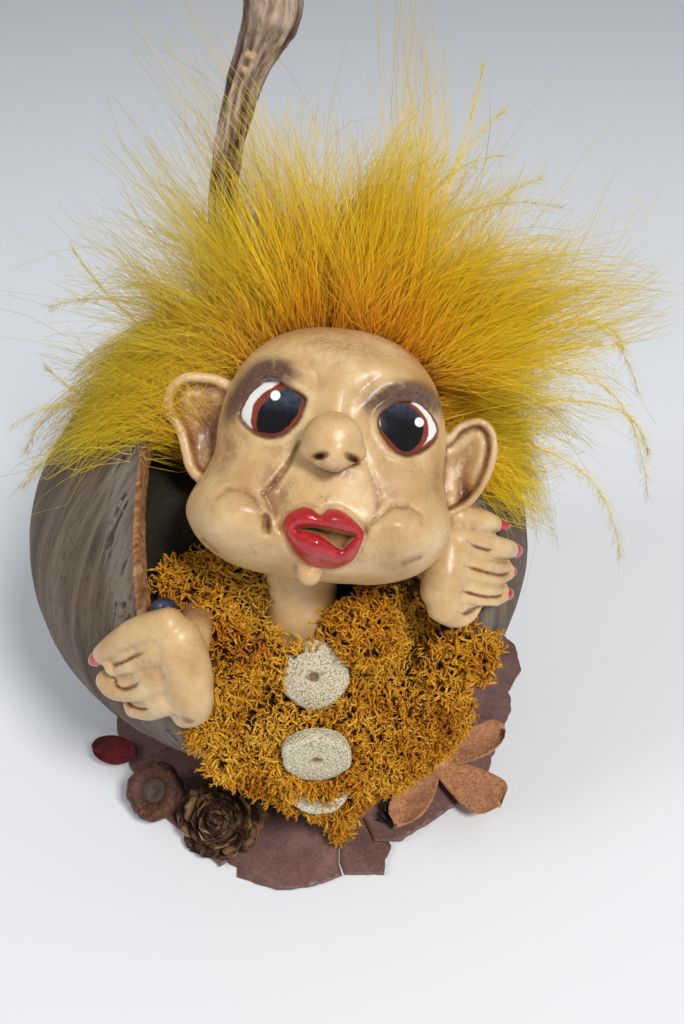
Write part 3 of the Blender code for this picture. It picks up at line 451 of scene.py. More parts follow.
def head_matrix():
    """The head's place and turn: tipped back and rolled to the viewer's right."""
    up = Vector((0.0, math.sin(HEAD_TILT), math.cos(HEAD_TILT)))
    back = Vector((0.0, math.cos(HEAD_TILT), -math.sin(HEAD_TILT)))
    right = Vector((1.0, 0.0, 0.0))
    right_rolled = right * math.cos(HEAD_ROLL) - up * math.sin(HEAD_ROLL)
    up_rolled = right * math.sin(HEAD_ROLL) + up * math.cos(HEAD_ROLL)
    turn = Matrix((right_rolled, back, up_rolled)).transposed().to_4x4()
    return Matrix.Translation(HEAD_CENTRE) @ turn


HEAD = head_matrix()

# Broad mounds: x, z, half width, half height and lift towards the viewer
MOUNDS = (
    (-12.5, 7.0, 8.0, 7.5, -3.6),
    (14.5, 7.0, 8.0, 7.5, -3.6),
    (-13.0, 16.5, 8.0, 3.2, 1.7),
    (13.5, 16.5, 8.0, 3.2, 1.7),
    (-18.5, -16.0, 8.2, 6.0, 4.6),
    (17.5, -15.0, 8.2, 6.0, 4.2),
    (0.4, -14.5, 9.5, 8.8, 4.6),
    (0.6, 9.5, 3.6, 5.5, 1.6),
    (0.0, 21.0, 16.0, 7.0, 1.2),
    (-17.5, -4.0, 6.0, 4.5, 1.2),
    (18.0, -3.0, 6.0, 4.5, 1.2),
)

# Lines pressed into the dough: points, width and depth
NOSE_LINE_LEFT = ((-5.9, 1.0), (-8.0, -4.2), (-11.4, -9.8))
NOSE_LINE_RIGHT = ((6.6, 0.5), (9.4, -4.6), (10.9, -8.4))
MUZZLE_LEFT = ((-11.4, -9.7), (-9.6, -13.0), (-8.3, -15.6))
MUZZLE_RIGHT = ((10.9, -8.4), (10.0, -12.0), (8.6, -14.6))
SMILE_LEFT = ((-20.7, -11.4), (-19.0, -9.7), (-15.9, -9.4), (-13.6, -10.7), (-11.1, -12.8), (-10.2, -15.4))
SMILE_RIGHT = ((8.6, -14.6), (10.4, -12.1), (13.7, -9.4), (16.8, -9.0), (19.2, -10.3), (19.6, -11.8))
DIMPLE_LEFT = ((-23.6, -20.3), (-20.6, -22.4))
DIMPLE_RIGHT = ((17.3, -20.3), (20.2, -18.8))
CREASES = (
    (NOSE_LINE_LEFT, 0.6, 0.6),
    (NOSE_LINE_RIGHT, 0.8, 0.3),
    (MUZZLE_LEFT, 1.1, 0.9),
    (MUZZLE_RIGHT, 1.0, 0.4),
    (SMILE_LEFT, 1.0, 0.75),
    (SMILE_RIGHT, 0.9, 0.7),
    (((-10.8, -14.2), (-10.2, -16.4)), 1.1, 1.8),
    (DIMPLE_LEFT, 0.9, 0.9),
    (DIMPLE_RIGHT, 0.9, 0.7),
    (((-24.0, 9.0), (-22.0, 2.0), (-19.5, -2.5)), 1.8, 0.8),
    (((23.6, 8.0), (22.4, 2.0), (22.6, -4.0)), 1.8, 0.6),
    (((-20.5, 2.6), (-15.5, -0.8), (-10.0, -0.6)), 1.2, 0.3),
    (((21.5, 1.6), (16.5, -1.6), (11.0, -0.4)), 1.2, 0.3),
    (((-7.5, 19.8), (-4.4, 16.0), (-3.2, 12.5)), 0.7, 0.2),
)

# The hollow side of the muzzle, below the left nose line: x, z, half width, half height, lift
MUZZLE_HOLLOW = ((-7.6, -7.4, 2.4, 4.2, -1.1), (-9.0, -12.0, 2.0, 2.6, -0.8))

# The folds' full sides, which bulge over their lines: x, z, half width, half height, lift
FOLD_LIPS = (
    (-20.7, -11.6, 1.5, 1.2, 0.8),
    (-16.0, -12.4, 4.0, 2.2, 1.0),
    (18.9, -11.9, 1.3, 1.6, 0.7),
    (14.4, -12.2, 3.6, 2.2, 1.0),
)

EYES = {
    "left": {
        "outline": [(-13.8, 13.4), (-15.4, 12.4), (-17.6, 9.7), (-19.0, 6.1), (-18.3, 4.4), (-15.5, 2.3),
                    (-13.0, 1.5), (-10.2, 1.9), (-8.1, 3.4), (-6.5, 5.8), (-5.6, 9.1), (-6.1, 10.4),
                    (-9.1, 11.9), (-11.6, 13.2)],
        "black": ((-9.6, 5.1, 5.6), (-8.0, 7.6, 4.6)),
        "iris": ((-10.4, 5.9, 6.1), (-8.9, 8.2, 5.2)),
        "glint": (-11.9, 10.1, 1.0),
        "shade": (-0.62, 0.78),
    },
    "right": {
        "outline": [(14.9, 12.2), (16.8, 12.4), (19.0, 10.9), (21.1, 8.6), (21.6, 6.3), (20.5, 4.0),
                    (17.9, 1.9), (15.1, 1.0), (12.6, 1.9), (10.6, 3.8), (9.3, 5.9), (9.0, 8.2),
                    (10.0, 9.7), (12.1, 11.3)],
        "black": ((13.6, 6.4, 4.9), (12.8, 7.6, 4.2)),
        "iris": ((14.6, 6.4, 5.0), (13.8, 7.0, 5.0)),
        "glint": (17.4, 8.2, 0.95),
        "shade": (-0.15, 0.99),
    },
}
EYE_SINK = 3.4
EYE_RECESS = 0.7
EYE_BULGE = 1.9
# How far from an eye's middle the skin's slope is measured
EYE_PROBE = 4

LIPS_OUTLINE = [(-7.4, -15.3), (-6.5, -13.1), (-4.2, -11.4), (-2.2, -11.3), (-0.1, -12.3), (1.3, -11.1),
                (3.5, -11.1), (5.9, -12.4), (8.4, -14.8), (8.1, -17.8), (6.9, -20.8), (4.4, -22.6),
                (1.2, -23.0), (-2.0, -22.3), (-4.7, -20.2), (-6.5, -17.2)]
MOUTH_OUTLINE = [(-4.4, -15.6), (-1.8, -14.7), (0.9, -14.7), (4.0, -15.0), (7.0, -15.5), (6.4, -16.8),
                 (5.6, -17.8), (4.8, -18.7), (3.0, -18.1), (0.1, -16.3)]
MOUTH_DEPTH = 3.4
# A nostril's bell, and each nostril's place and slope
NOSTRIL = (0, 0, 1.25, 0.65, 1)
NOSTRILS = ((-1.5, -1.3, 0.25), (4.7, -1.0, -0.3))


def smooth_outline(points):
    """A closed curve through points, as the tuples that outline_depth takes."""
    return [tuple(point) for point in smooth_line(points, 5, closed=True)]


for eye in EYES.values():
    eye["outline"] = smooth_outline(eye["outline"])
LIPS_OUTLINE = smooth_outline(LIPS_OUTLINE)
MOUTH_OUTLINE = smooth_outline(MOUTH_OUTLINE)

CROWN_SQUARENESS = 2.4
JAW_SQUARENESS = 3.2
LEFT_JOWL = 0.25
RIGHT_JOWL = 0.18


def bell(x, z, mound):
    """A mound's or a hollow's lift at x and z, from its centre, half sizes and height."""
    centre_x, centre_z, width, height, lift = mound
    return lift * np.exp(-((x - centre_x) / width) ** 2 - ((z - centre_z) / height) ** 2)


def head_skin(directions):
    """The points of the head's broad shape in these directions from its centre."""
    squareness = CROWN_SQUARENESS + (JAW_SQUARENESS - CROWN_SQUARENESS) * ease(-directions[:, 2], 0.0, 0.5)
    shares = np.abs(directions) / HEAD_HALF
    radius = (shares ** squareness[:, None]).sum(axis=1) ** (-1 / squareness)
    points = directions * radius[:, None]
    jowl = np.where(points[:, 0] < 0, LEFT_JOWL, RIGHT_JOWL)
    points[:, 0] *= 1 + jowl * ease(-points[:, 2] / HEAD_HALF[2], 0.05, 0.62)
    front = ease(-points[:, 1] / HEAD_HALF[1], 0.08, 0.55)
    x, z = points[:, 0] / MM, points[:, 2] / MM
    lift = sum(bell(x, z, mound) for mound in MOUNDS)
    points[:, 1] -= lift * front * MM
    return points


def head_ball(subdivisions):
    bm = bmesh.new()
    bmesh.ops.create_icosphere(bm, subdivisions=subdivisions, radius=1.0)
    points = head_skin(unit(np.array([vert.co for vert in bm.verts])))
    for vert, point in zip(bm.verts, points):
        vert.co = point
    return bm


def skin_finder():
    bm = head_ball(6)
    tree = BVHTree.FromBMesh(bm)
    bm.free()
    return tree


SKIN = skin_finder()


def skin_depth(x, z):
    """How far back the broad face lies at x and z, in millimetres."""
    hit = SKIN.ray_cast(Vector((x * MM, -0.1, z * MM)), Vector((0, 1, 0)))[0]
    return hit.y / MM if hit else 0.0


def face_relief(x, z):
    """Lift of the fine forms of the face towards the viewer, in millimetres."""
    lift = sum(bell(x, z, fold) for fold in FOLD_LIPS + MUZZLE_HOLLOW)
    pressed = np.zeros(len(x))
    for line, width, depth in CREASES:
        pressed = np.maximum(pressed, depth * peak(line_distance(x, z, line), width))
    lift -= pressed
    for eye in EYES.values():
        gap = outline_depth(x, z, eye["outline"])
        upper = ease(above_eye(x, z, eye), -1.0, 5.0)
        lift += (0.35 + 0.3 * upper) * peak(gap - 0.8, 0.75)
        lift += 0.9 * upper * peak(gap - 3.0, 1.9)
        lift -= 0.35 * upper * peak(gap - 5.8, 1.1)
        lift -= EYE_SINK * ease(-gap, 0.0, 0.9)
    outer = outline_depth(x, z, LIPS_OUTLINE)
    inner = outline_depth(x, z, MOUTH_OUTLINE)
    span = np.maximum(-outer, 0) + np.maximum(inner, 0)
    share = np.maximum(-outer, 0) / np.maximum(span, 1e-6)
    on_lips = (outer < 0) & (inner > 0)
    lift += np.where(on_lips, 0.46 * span * np.sin(np.pi * share) ** 0.75, 0.0)
    lift -= MOUTH_DEPTH * ease(-inner, -0.1, 1.0)
    lift -= 0.4 * peak(outer - 0.5, 0.5)
    for nostril_x, nostril_z, slope in NOSTRILS:
        lift -= 2.4 * nostril_share(x, z, nostril_x, nostril_z, slope)
    return lift


def above_eye(x, z, eye):
    """How far points lie over an eye's middle, towards its painted lid."""
    centre_x, centre_z = np.mean(eye["outline"], axis=0)
    return (z - centre_z) * eye["shade"][1] + (x - centre_x) * eye["shade"][0]


def nostril_share(x, z, nostril_x, nostril_z, slope):
    """1 in the middle of a nostril and less round it."""
    aside, down = x - nostril_x, z - nostril_z - slope * (x - nostril_x)
    return bell(aside, down, NOSTRIL)


# Ears: outline from the top of the join round the rim to the bottom of the join, then inside the head,
# and the rim's width, the hollows in it and the lobe, each as x, z, half width, half height and depth
EARS = {
    "left": {
        "side": -1,
        "outline": [(-24.8, 14.2), (-29.3, 14.5), (-33.2, 13.8), (-36.0, 11.0), (-36.8, 7.6), (-35.6, 4.2),
                    (-33.2, 0.8), (-31.8, -2.9), (-30.6, -6.3), (-27.9, -8.9), (-23.5, -8.9), (-19.0, -6.0),
                    (-18.0, 3.0), (-19.5, 11.0)],
        "rim": 2.6,
        "hollows": ((-27.4, 2.6, 3.0, 5.8, 2.1), (-28.8, 9.6, 3.0, 2.6, 0.7)),
        "lobe": (-26.6, -7.4, 3.2, 2.4, 0.8),
    },
    "right": {
        "side": 1,
        "outline": [(24.0, 6.5), (26.4, 9.6), (30.8, 11.5), (34.3, 9.5), (35.6, 5.2), (34.8, -0.9),
                    (32.4, -6.1), (28.8, -9.6), (25.0, -10.6), (20.0, -7.0), (19.0, 0.0), (20.0, 5.0)],
        "rim": 1.9,
        "hollows": ((28.6, 1.8, 2.6, 5.2, 1.3), (29.4, -4.6, 1.3, 2.6, 1.6)),
        "lobe": (26.0, -8.4, 2.6, 2.2, 0.7),
    },
}
EAR_FRONT = -1.3
EAR_THICKNESS = 4.6
EAR_ROLL = 1.35
EAR_FLOOR = 0.7


def ear_front(x, z, ear):
    """How far back the face of an ear lies, in millimetres: a rolled rim round a dished floor."""
    depth = np.maximum(-outline_depth(x, z, ear["edge"]), 0.0)
    rim = ear["rim"]
    roll = EAR_ROLL * np.sqrt(np.clip(1 - (2 * depth / rim - 1) ** 2, 0.0, 1.0))
    front = EAR_FRONT - roll + EAR_FLOOR * ease(depth, rim * 0.7, rim * 1.3)
    front -= 0.6 * peak(depth - rim * 1.9, 0.45 * rim)
    for hollow in ear["hollows"]:
        front += bell(x, z, hollow) * ease(depth, rim * 0.8, rim * 1.5)
    return front - bell(x, z, ear["lobe"]) - 0.12 * (np.abs(x) - 24.0)


def add_ear(bm, ear):
    """A dished leaf of dough, thick enough to close at the back."""
    edge = smooth_line(ear["outline"], 8, closed=True)
    ear["edge"] = [tuple(spot) for spot in edge]
    centre = edge.mean(axis=0)
    rings = 40
    fronts, backs = [], []
    for ring in range(rings + 1):
        share = ring / rings
        spots = centre + (edge - centre) * share
        front = ear_front(spots[:, 0], spots[:, 1], ear)
        back = EAR_FRONT + 1.2 + EAR_THICKNESS * np.sqrt(max(1 - share ** 3, 0.0))
        back = back - 0.12 * (np.abs(spots[:, 0]) - 24.0)
        fronts.append([bm.verts.new((x * MM, y * MM, z * MM)) for (x, z), y in zip(spots, front)])
        if ring < rings:
            backs.append([bm.verts.new((x * MM, y * MM, z * MM)) for (x, z), y in zip(spots, back)])
    backs.append(fronts[-1])
    count = len(edge)
    for layers, flip in ((fronts, False), (backs, True)):
        for low, high in zip(layers, layers[1:]):
            for k in range(count):
                n = (k + 1) % count
                corners = (low[k], low[n], high[n], high[k])
                bm.faces.new(corners[::-1] if flip else corners)
    bmesh.ops.remove_doubles(bm, verts=bm.verts[:], dist=1e-7)
    bmesh.ops.recalc_face_normals(bm, faces=bm.faces[:])


NOSE_CENTRE = (0.6, 2.0)
# Lumps of the nose against its centre: across, out, up, and half sizes
NOSE_LUMPS = (
    (0.0, 0.0, 0.0, 5.9, 5.4, 5.7),
    (0.7, -1.6, -1.6, 3.9, 4.2, 3.9),
    (0.9, -2.0, -3.6, 2.5, 2.9, 2.4),
    (-4.0, 0.4, -2.2, 2.3, 3.0, 2.1),
    (4.6, 0.5, -1.7, 2.2, 3.0, 2.0),
)
CHIN = (-1.3, -24.4)


def head_lumps():
    """The dough lumps of the head pressed together, before the fine modelling."""
    bm = head_ball(7)
    x, z = NOSE_CENTRE
    y = skin_depth(x, z) - 3.6
    for across, out, up, *half in NOSE_LUMPS:
        ball(bm, ((x + across) * MM, (y + out) * MM, (z + up) * MM), np.array(half) * MM, 5)
    chin_x, chin_z = CHIN
    depth = skin_depth(chin_x, chin_z + 2.0)
    ball(bm, (chin_x * MM, (depth + 0.9) * MM, chin_z * MM), np.array((2.6, 2.5, 2.6)) * MM, 4)
    ball(bm, (chin_x * MM, (depth + 0.7) * MM, (chin_z + 2.2) * MM), np.array((2.0, 2.1, 2.8)) * MM, 4)
    for ear in EARS.values():
        leaf = bmesh.new()
        add_ear(leaf, ear)
        shape = mesh_of("ear", leaf)
        bm.from_mesh(shape)
        bpy.data.meshes.remove(shape)
    return bm


def skin_finish():
    """Waxy dough, brown in its hollows from wash and painted shade, with painted lids and lips."""
    f = Finish("dough_skin", subsurface_weight=0.15, subsurface_scale=0.002, coat_weight=0.3,
               coat_roughness=0.28)
    f.shader.inputs["Subsurface Radius"].default_value = (1.0, 0.55, 0.3)
    broad = f.cloud(9 * MM, 4)
    fine = f.cloud(0.9 * MM, 5, 0.65)
    base = f.ramp(broad, (0.30, (182, 144, 94)), (0.52, (201, 167, 118)), (0.72, (215, 186, 140)))
    base = f.blend(f.span(fine, 0.35, 0.75, 0.0, 0.22), base, (170, 128, 82))
    wash = f.read("wash")
    scratch = f.cloud(2.6 * MM, 5, 0.7, distortion=0.6)
    scratch = f.span(f.calculate("ABSOLUTE", f.calculate("SUBTRACT", scratch, 0.5)), 0.02, 0.0)
    worn = f.span(f.calculate("ADD", wash, f.cloud(6 * MM, 2)), 0.42, 1.0, 0.0, 0.75)
    scratch = f.calculate("MULTIPLY", scratch, worn)
    base = f.blend(scratch, base, (128, 84, 50))
    wash = f.calculate("MULTIPLY", wash, f.span(f.cloud(1.8 * MM, 5, 0.7), 0.25, 0.7, 0.5, 1.2))
    # The wash share is partly brown antiquing and partly painted shade in hollows, creases and pits.
    base = f.blend(f.span(wash, 0.0, 0.6), base, (150, 106, 66))
    base = f.blend(f.span(wash, 0.55, 1.25), base, (66, 42, 26))
    lid = f.calculate("MULTIPLY", f.read("lid"), f.span(f.cloud(1.6 * MM, 4, 0.65), 0.2, 0.6, 0.7, 1.08))
    lid_colour = f.ramp(f.cloud(1.0 * MM, 4, 0.6), (0.3, (58, 30, 22)), (0.7, (98, 62, 46)))
    base = f.blend(f.span(lid, 0.05, 0.95, 0.0, 0.96), base, lid_colour)
    lips = f.span(f.read("lips"), 0.25, 0.75)
    red = f.ramp(f.cloud(1.3 * MM, 4, 0.6), (0.3, (138, 14, 20)), (0.7, (184, 36, 40)))
    base = f.blend(lips, base, red)
    glossy = f.calculate("MAXIMUM", lips, f.span(lid, 0.2, 0.8, 0.0, 0.4))
    roughness = f.span(fine, 0.2, 0.8, 0.36, 0.52)
    roughness = f.calculate("SUBTRACT", roughness, f.calculate("MULTIPLY", glossy, 0.28))
    grain = f.relief(fine, 0.12 * MM, 0.5)
    grain = f.relief(f.cloud(0.3 * MM, 3, 0.6), 0.04 * MM, 0.4, grain)
    grain = f.relief(scratch, -0.1 * MM, 0.6, grain)
    return f.dress(base, roughness, grain)


# Brown patches on the face, partly rubbed-in wash and partly painted shade, as in the ear hollows, the pit at
# the mouth's left corner and the shaded left side of the muzzle: x, z, half width, half height and strength
WASH_AND_SHADE_PATCHES = (
    (-10.5, -6.5, 2.6, 4.6, 0.45), (-8.4, -11.0, 2.2, 2.8, 0.35), (6.0, 15.5, 3.5, 3.0, 0.10),
    (-3.5, 22.0, 7.0, 3.0, 0.22), (-16.0, -12.6, 3.0, 2.2, 0.22), (15.5, -21.0, 5.0, 2.0, 0.22),
    (12.5, -6.5, 4.0, 2.0, 0.30), (3.0, -3.6, 3.0, 1.4, 0.35), (-21.0, -3.0, 2.6, 5.0, 0.40),
    (22.5, -2.0, 2.4, 5.0, 0.32), (0.5, -9.0, 1.6, 2.0, 0.22), (-20.0, 9.0, 2.4, 6.0, 0.35),
    (-27.2, 2.4, 3.0, 5.6, 0.75), (-28.4, 10.0, 3.0, 2.2, 0.20), (28.8, 1.0, 2.6, 5.0, 0.25),
    (29.6, -4.6, 1.2, 2.4, 0.85), (-10.4, -15.4, 0.9, 1.5, 0.70), (4.0, 21.0, 9.0, 2.6, 0.15),
)


# Crease lines darkened along their length, partly by wash and partly as painted shade, and dimples darkened
# as painted shade
WASHED_AND_SHADED_LINES = (NOSE_LINE_LEFT, SMILE_LEFT, SMILE_RIGHT, MUZZLE_RIGHT)
DIMPLES = (DIMPLE_LEFT, DIMPLE_RIGHT)


def make_head():
    mesh = fused(head_lumps(), HEAD_VOXEL)

    def detailed(centres):
        x, z = centres[:, 0] / MM, centres[:, 2] / MM
        near = (outline_depth(x, z, LIPS_OUTLINE) < 1.0) | (line_distance(x, z, SMILE_LEFT) < 1.4)
        near |= line_distance(x, z, SMILE_RIGHT) < 1.4
        for nostril in NOSTRILS:
            near |= nostril_share(x, z, *nostril) > 0.05
        for eye in EYES.values():
            near |= np.abs(outline_depth(x, z, eye["outline"])) < 1.6
        return near & (centres[:, 1] < -4 * MM)

    set_points(mesh, relaxed(points_of(mesh), edges_of(mesh), 3))
    mesh = refined(mesh, detailed)
    points = points_of(mesh)
    x, z = points[:, 0] / MM, points[:, 2] / MM
    facing = ease(-normals_of(mesh)[:, 1], 0.0, 0.35) * ease(-points[:, 1] / MM, 2.0, 8.0)
    points[:, 1] -= face_relief(x, z) * facing * MM
    points = relaxed(points, edges_of(mesh), 1)
    points += normals_of(mesh) * (noise(points, 4 * MM, 3, 3) * 0.10 * MM)[:, None]
    set_points(mesh, points)

    # Darker the deeper a point lies in a hollow: partly antiquing wash and partly painted shade.
    deep = relaxed(np.clip(hollows(mesh, 14), 0, None), edges_of(mesh), 2)
    wash = np.clip(deep / 0.42, 0, 0.95)
    for line in WASHED_AND_SHADED_LINES:
        wash += 0.22 * peak(line_distance(x, z, line), 0.6) * facing
    # Painted shade in the dimples
    for line in DIMPLES:
        wash += 0.4 * peak(line_distance(x, z, line), 0.6)
    for patch in WASH_AND_SHADE_PATCHES:
        wash += bell(x, z, patch)
    # Painted shade in the nostrils
    for nostril in NOSTRILS:
        wash += 1.6 * nostril_share(x, z, *nostril) * facing
    # Painted shade along the crease just inside each ear's rim
    for ear in EARS.values():
        rim_gap = -outline_depth(x, z, ear["edge"]) - ear["rim"] * 1.02
        wash += 0.6 * peak(rim_gap, 0.4) * ease(np.abs(x), 24.5, 27.0) * (points[:, 1] < 2 * MM)
    # Darker round the top of the face, towards the hair
    wash += 0.55 * ease(np.hypot(x, z + 2), 25.0, 31.0) * ease(z, 12.0, 22.0)
    lid = np.zeros(len(points))
    for eye in EYES.values():
        gap = outline_depth(x, z, eye["outline"])
        lid = np.maximum(lid, 0.9 * ease(above_eye(x, z, eye), -0.5, 5.5) * ease(-gap, -6.2, -2.0))
        lid = np.maximum(lid, 0.75 * peak(np.maximum(gap, 0), 0.5))
    in_mouth = ease(outline_depth(x, z, MOUTH_OUTLINE), 0.1, -0.3)
    lips = ease(-outline_depth(x, z, LIPS_OUTLINE), -0.35, 0.25) * (1 - in_mouth)
    front = points[:, 1] < -3 * MM
    # Painted shade inside the mouth, darkest under the upper lip
    shade_under_lip = in_mouth * ease(z, -17.5, -15.0)
    wash = wash * (1 - (lips * 0.9 + in_mouth * 0.6) * front) + (0.34 * in_mouth + 0.5 * shade_under_lip) * front
    store(mesh, wash=wash, lid=lid * front, lips=lips * front)
    finish = skin_finish()
    piece("head_skin", mesh, finish,
          ("head", "nose", "chin_knob", "left_ear", "right_ear", "upper_lip", "lower_lip",
           "left_upper_lid", "left_lower_lid", "right_upper_lid", "right_lower_lid"), HEAD)
    return finish


# Painted eyes


def in_circles(x, z, circles, wobble, soft):
    """1 inside any of the circles, each given as x, z and radius."""
    return np.max([ease(radius - np.hypot(x - centre_x, z - centre_z) + wobble, -soft, soft)
                   for centre_x, centre_z, radius in circles], axis=0)


# White, rust, black and the grey sheen over the black, which is a painted reflection
EYE_COLOURS = ((222, 220, 214), (122, 52, 36), (14, 13, 18), (92, 104, 124))


def eye_paint(x, z, eye):
    """The colours of an eye: black, a rust ring, white to the side and a rust line round it, with a painted
    grey reflection over the black and a painted white highlight.
    """
    glint_x, glint_z, glint_radius = eye["glint"]
    gap = outline_depth(x, z, eye["outline"])
    flat = np.column_stack((x, z, x * 0))
    wobble = noise(flat, 1.1, 5, 2) * 0.16
    white, rust, dark, sheen = [np.array(srgb(*colour)[:3]) for colour in EYE_COLOURS]
    colours = np.tile(white, (len(x), 1))

    def lay(colour, share):
        colours[:] = colours * (1 - share[:, None]) + colour * share[:, None]

    streaks = noise(flat, 0.7, 9, 3)
    iris = in_circles(x, z, eye["iris"], wobble, 0.12)
    lay(rust * 1.15, iris)
    lay(rust * 0.6, 0.5 * ease(streaks, 0.0, 0.6) * iris)
    black = in_circles(x, z, eye["black"], wobble, 0.14)
    lay(dark, black)
    over = z - eye["black"][0][1]
    lay(sheen, 0.5 * black * ease(over, 1.2, 5.0) * (0.6 + 0.5 * streaks))
    lower = ease(-above_eye(x, z, eye), 0.0, 3.5)
    line = 0.35 + 0.55 * lower + 0.15 * streaks
    lay(rust, ease(gap + wobble + line, -0.12, 0.12))
    lay(rust * 0.4, ease(gap + wobble, -0.35, -0.05))
    lay(np.array((0.9, 0.9, 0.88)), ease(glint_radius - np.hypot(x - glint_x, z - glint_z), -0.12, 0.12))
    return colours


def make_eye(word, eye):
    outline = np.array(eye["outline"])
    centre = outline.mean(axis=0)
    edge = smooth_line(centre + (outline - centre) * 1.14, 4, closed=True)
    count, rings = len(edge), 50
    spots = [centre[None]]
    for ring in range(1, rings + 1):
        spots.append(centre + (edge - centre) * ring / rings)
    flat = np.concatenate(spots)
    x, z = flat[:, 0], flat[:, 1]
    slope_x, slope_z = [(skin_depth(*(centre + way)) - skin_depth(*(centre - way))) / (2 * EYE_PROBE)
                        for way in EYE_PROBE * np.eye(2)]
    reach = ((x - centre[0]) / 8.0) ** 2 + ((z - centre[1]) / 7.2) ** 2
    y = (skin_depth(*centre) + slope_x * (x - centre[0]) + slope_z * (z - centre[1]) + EYE_RECESS
         - EYE_BULGE * (1 - reach))
    skin_edge = np.array([skin_depth(*spot) for spot in edge])
    sunk = np.maximum(y, np.concatenate(([y[0]], np.tile(skin_edge + 1.6, rings))))
    ring_share = np.concatenate(([0.0], np.repeat(np.arange(1, rings + 1) / rings, count)))
    y += (sunk - y) * ease(ring_share, 0.84, 0.97)
    points = np.column_stack((x, y, z)) * MM
    rim = points[-count:] * 1.0
    rim[:, 1] += 2.0 * MM
    points = np.concatenate((points, rim, [points[0] + np.array((0, 5.0 * MM, 0))]))
    numbers = 1 + ring_numbers(rings + 1, count)
    closing = fan_of(numbers[-1], len(points) - 1, True)
    mesh = mesh_from(word + "_eye_paint", points, walls_of(numbers), fan_of(numbers[0], 0), closing)
    bm = bmesh.new()
    bm.from_mesh(mesh)
    bmesh.ops.recalc_face_normals(bm, faces=bm.faces[:])
    bm.to_mesh(mesh)
    bm.free()
    store(mesh, paint=eye_paint(points[:, 0] / MM, points[:, 2] / MM, eye))
    f = Finish("eye_paint_" + word, coat_weight=0.5, coat_roughness=0.06, specular_ior_level=0.1)
    streak = f.cloud(0.5 * MM, 4, 0.6)
    colour = f.blend(f.span(streak, 0.4, 0.75, 0.0, 0.02), f.read("paint", "Color"), (120, 110, 105))
    finish = f.dress(colour, f.span(streak, 0.2, 0.8, 0.2, 0.34), f.relief(streak, 0.05 * MM, 0.4))
    piece(word + "_eye_dome", mesh, finish, (word + "_eye",), HEAD)


# Neck and hands


def dough_wash(mesh, rounds, depth):
    """Brown in the hollows of a mesh of dough: partly antiquing wash and partly painted shade."""
    deep = relaxed(np.clip(hollows(mesh, rounds), 0, None), edges_of(mesh), 1)
    return np.clip(deep / depth, 0, 1.4)


def make_neck(finish):
    foot, top = np.array((0.6, -31.0, 61.0)) * MM, np.array((3.4, -26.5, 93.0)) * MM
    rings, sides = 60, 72
    along = np.linspace(0, 1, rings)
    angle = angles_round(sides)
    side, other = square_to(unit(top - foot), (0, 1, 0))
    centre = foot + np.outer(along, top - foot)
    radius = (8.7 - 0.8 * along)[:, None] * MM * np.ones(sides)
    radius *= 1 + 0.03 * np.cos(2 * angle)[None, :] + 0.035 * ease(0.16 - along, 0, 0.16)[:, None]
    points = (centre[:, None] + ring_of(side, other, angle) * radius[..., None]).reshape(-1, 3)
    points += unit(points - np.repeat(centre, sides, 0)) * (noise(points, 5 * MM, 11, 3) * 0.15 * MM)[:, None]
    numbers = ring_numbers(rings, sides)
    mesh = mesh_from("neck", points, walls_of(numbers, True), numbers[:1, ::-1], numbers[-1:])
    level = points[:, 2] / MM
    # Painted shade where the neck goes into the moss and up under the head
    wash = 0.3 * ease(-level, -68, -62) + 0.4 * ease(level, 84, 92)
    store(mesh, wash=wash, lid=wash * 0, lips=wash * 0)
    piece("neck_skin", mesh, finish, ("neck",))


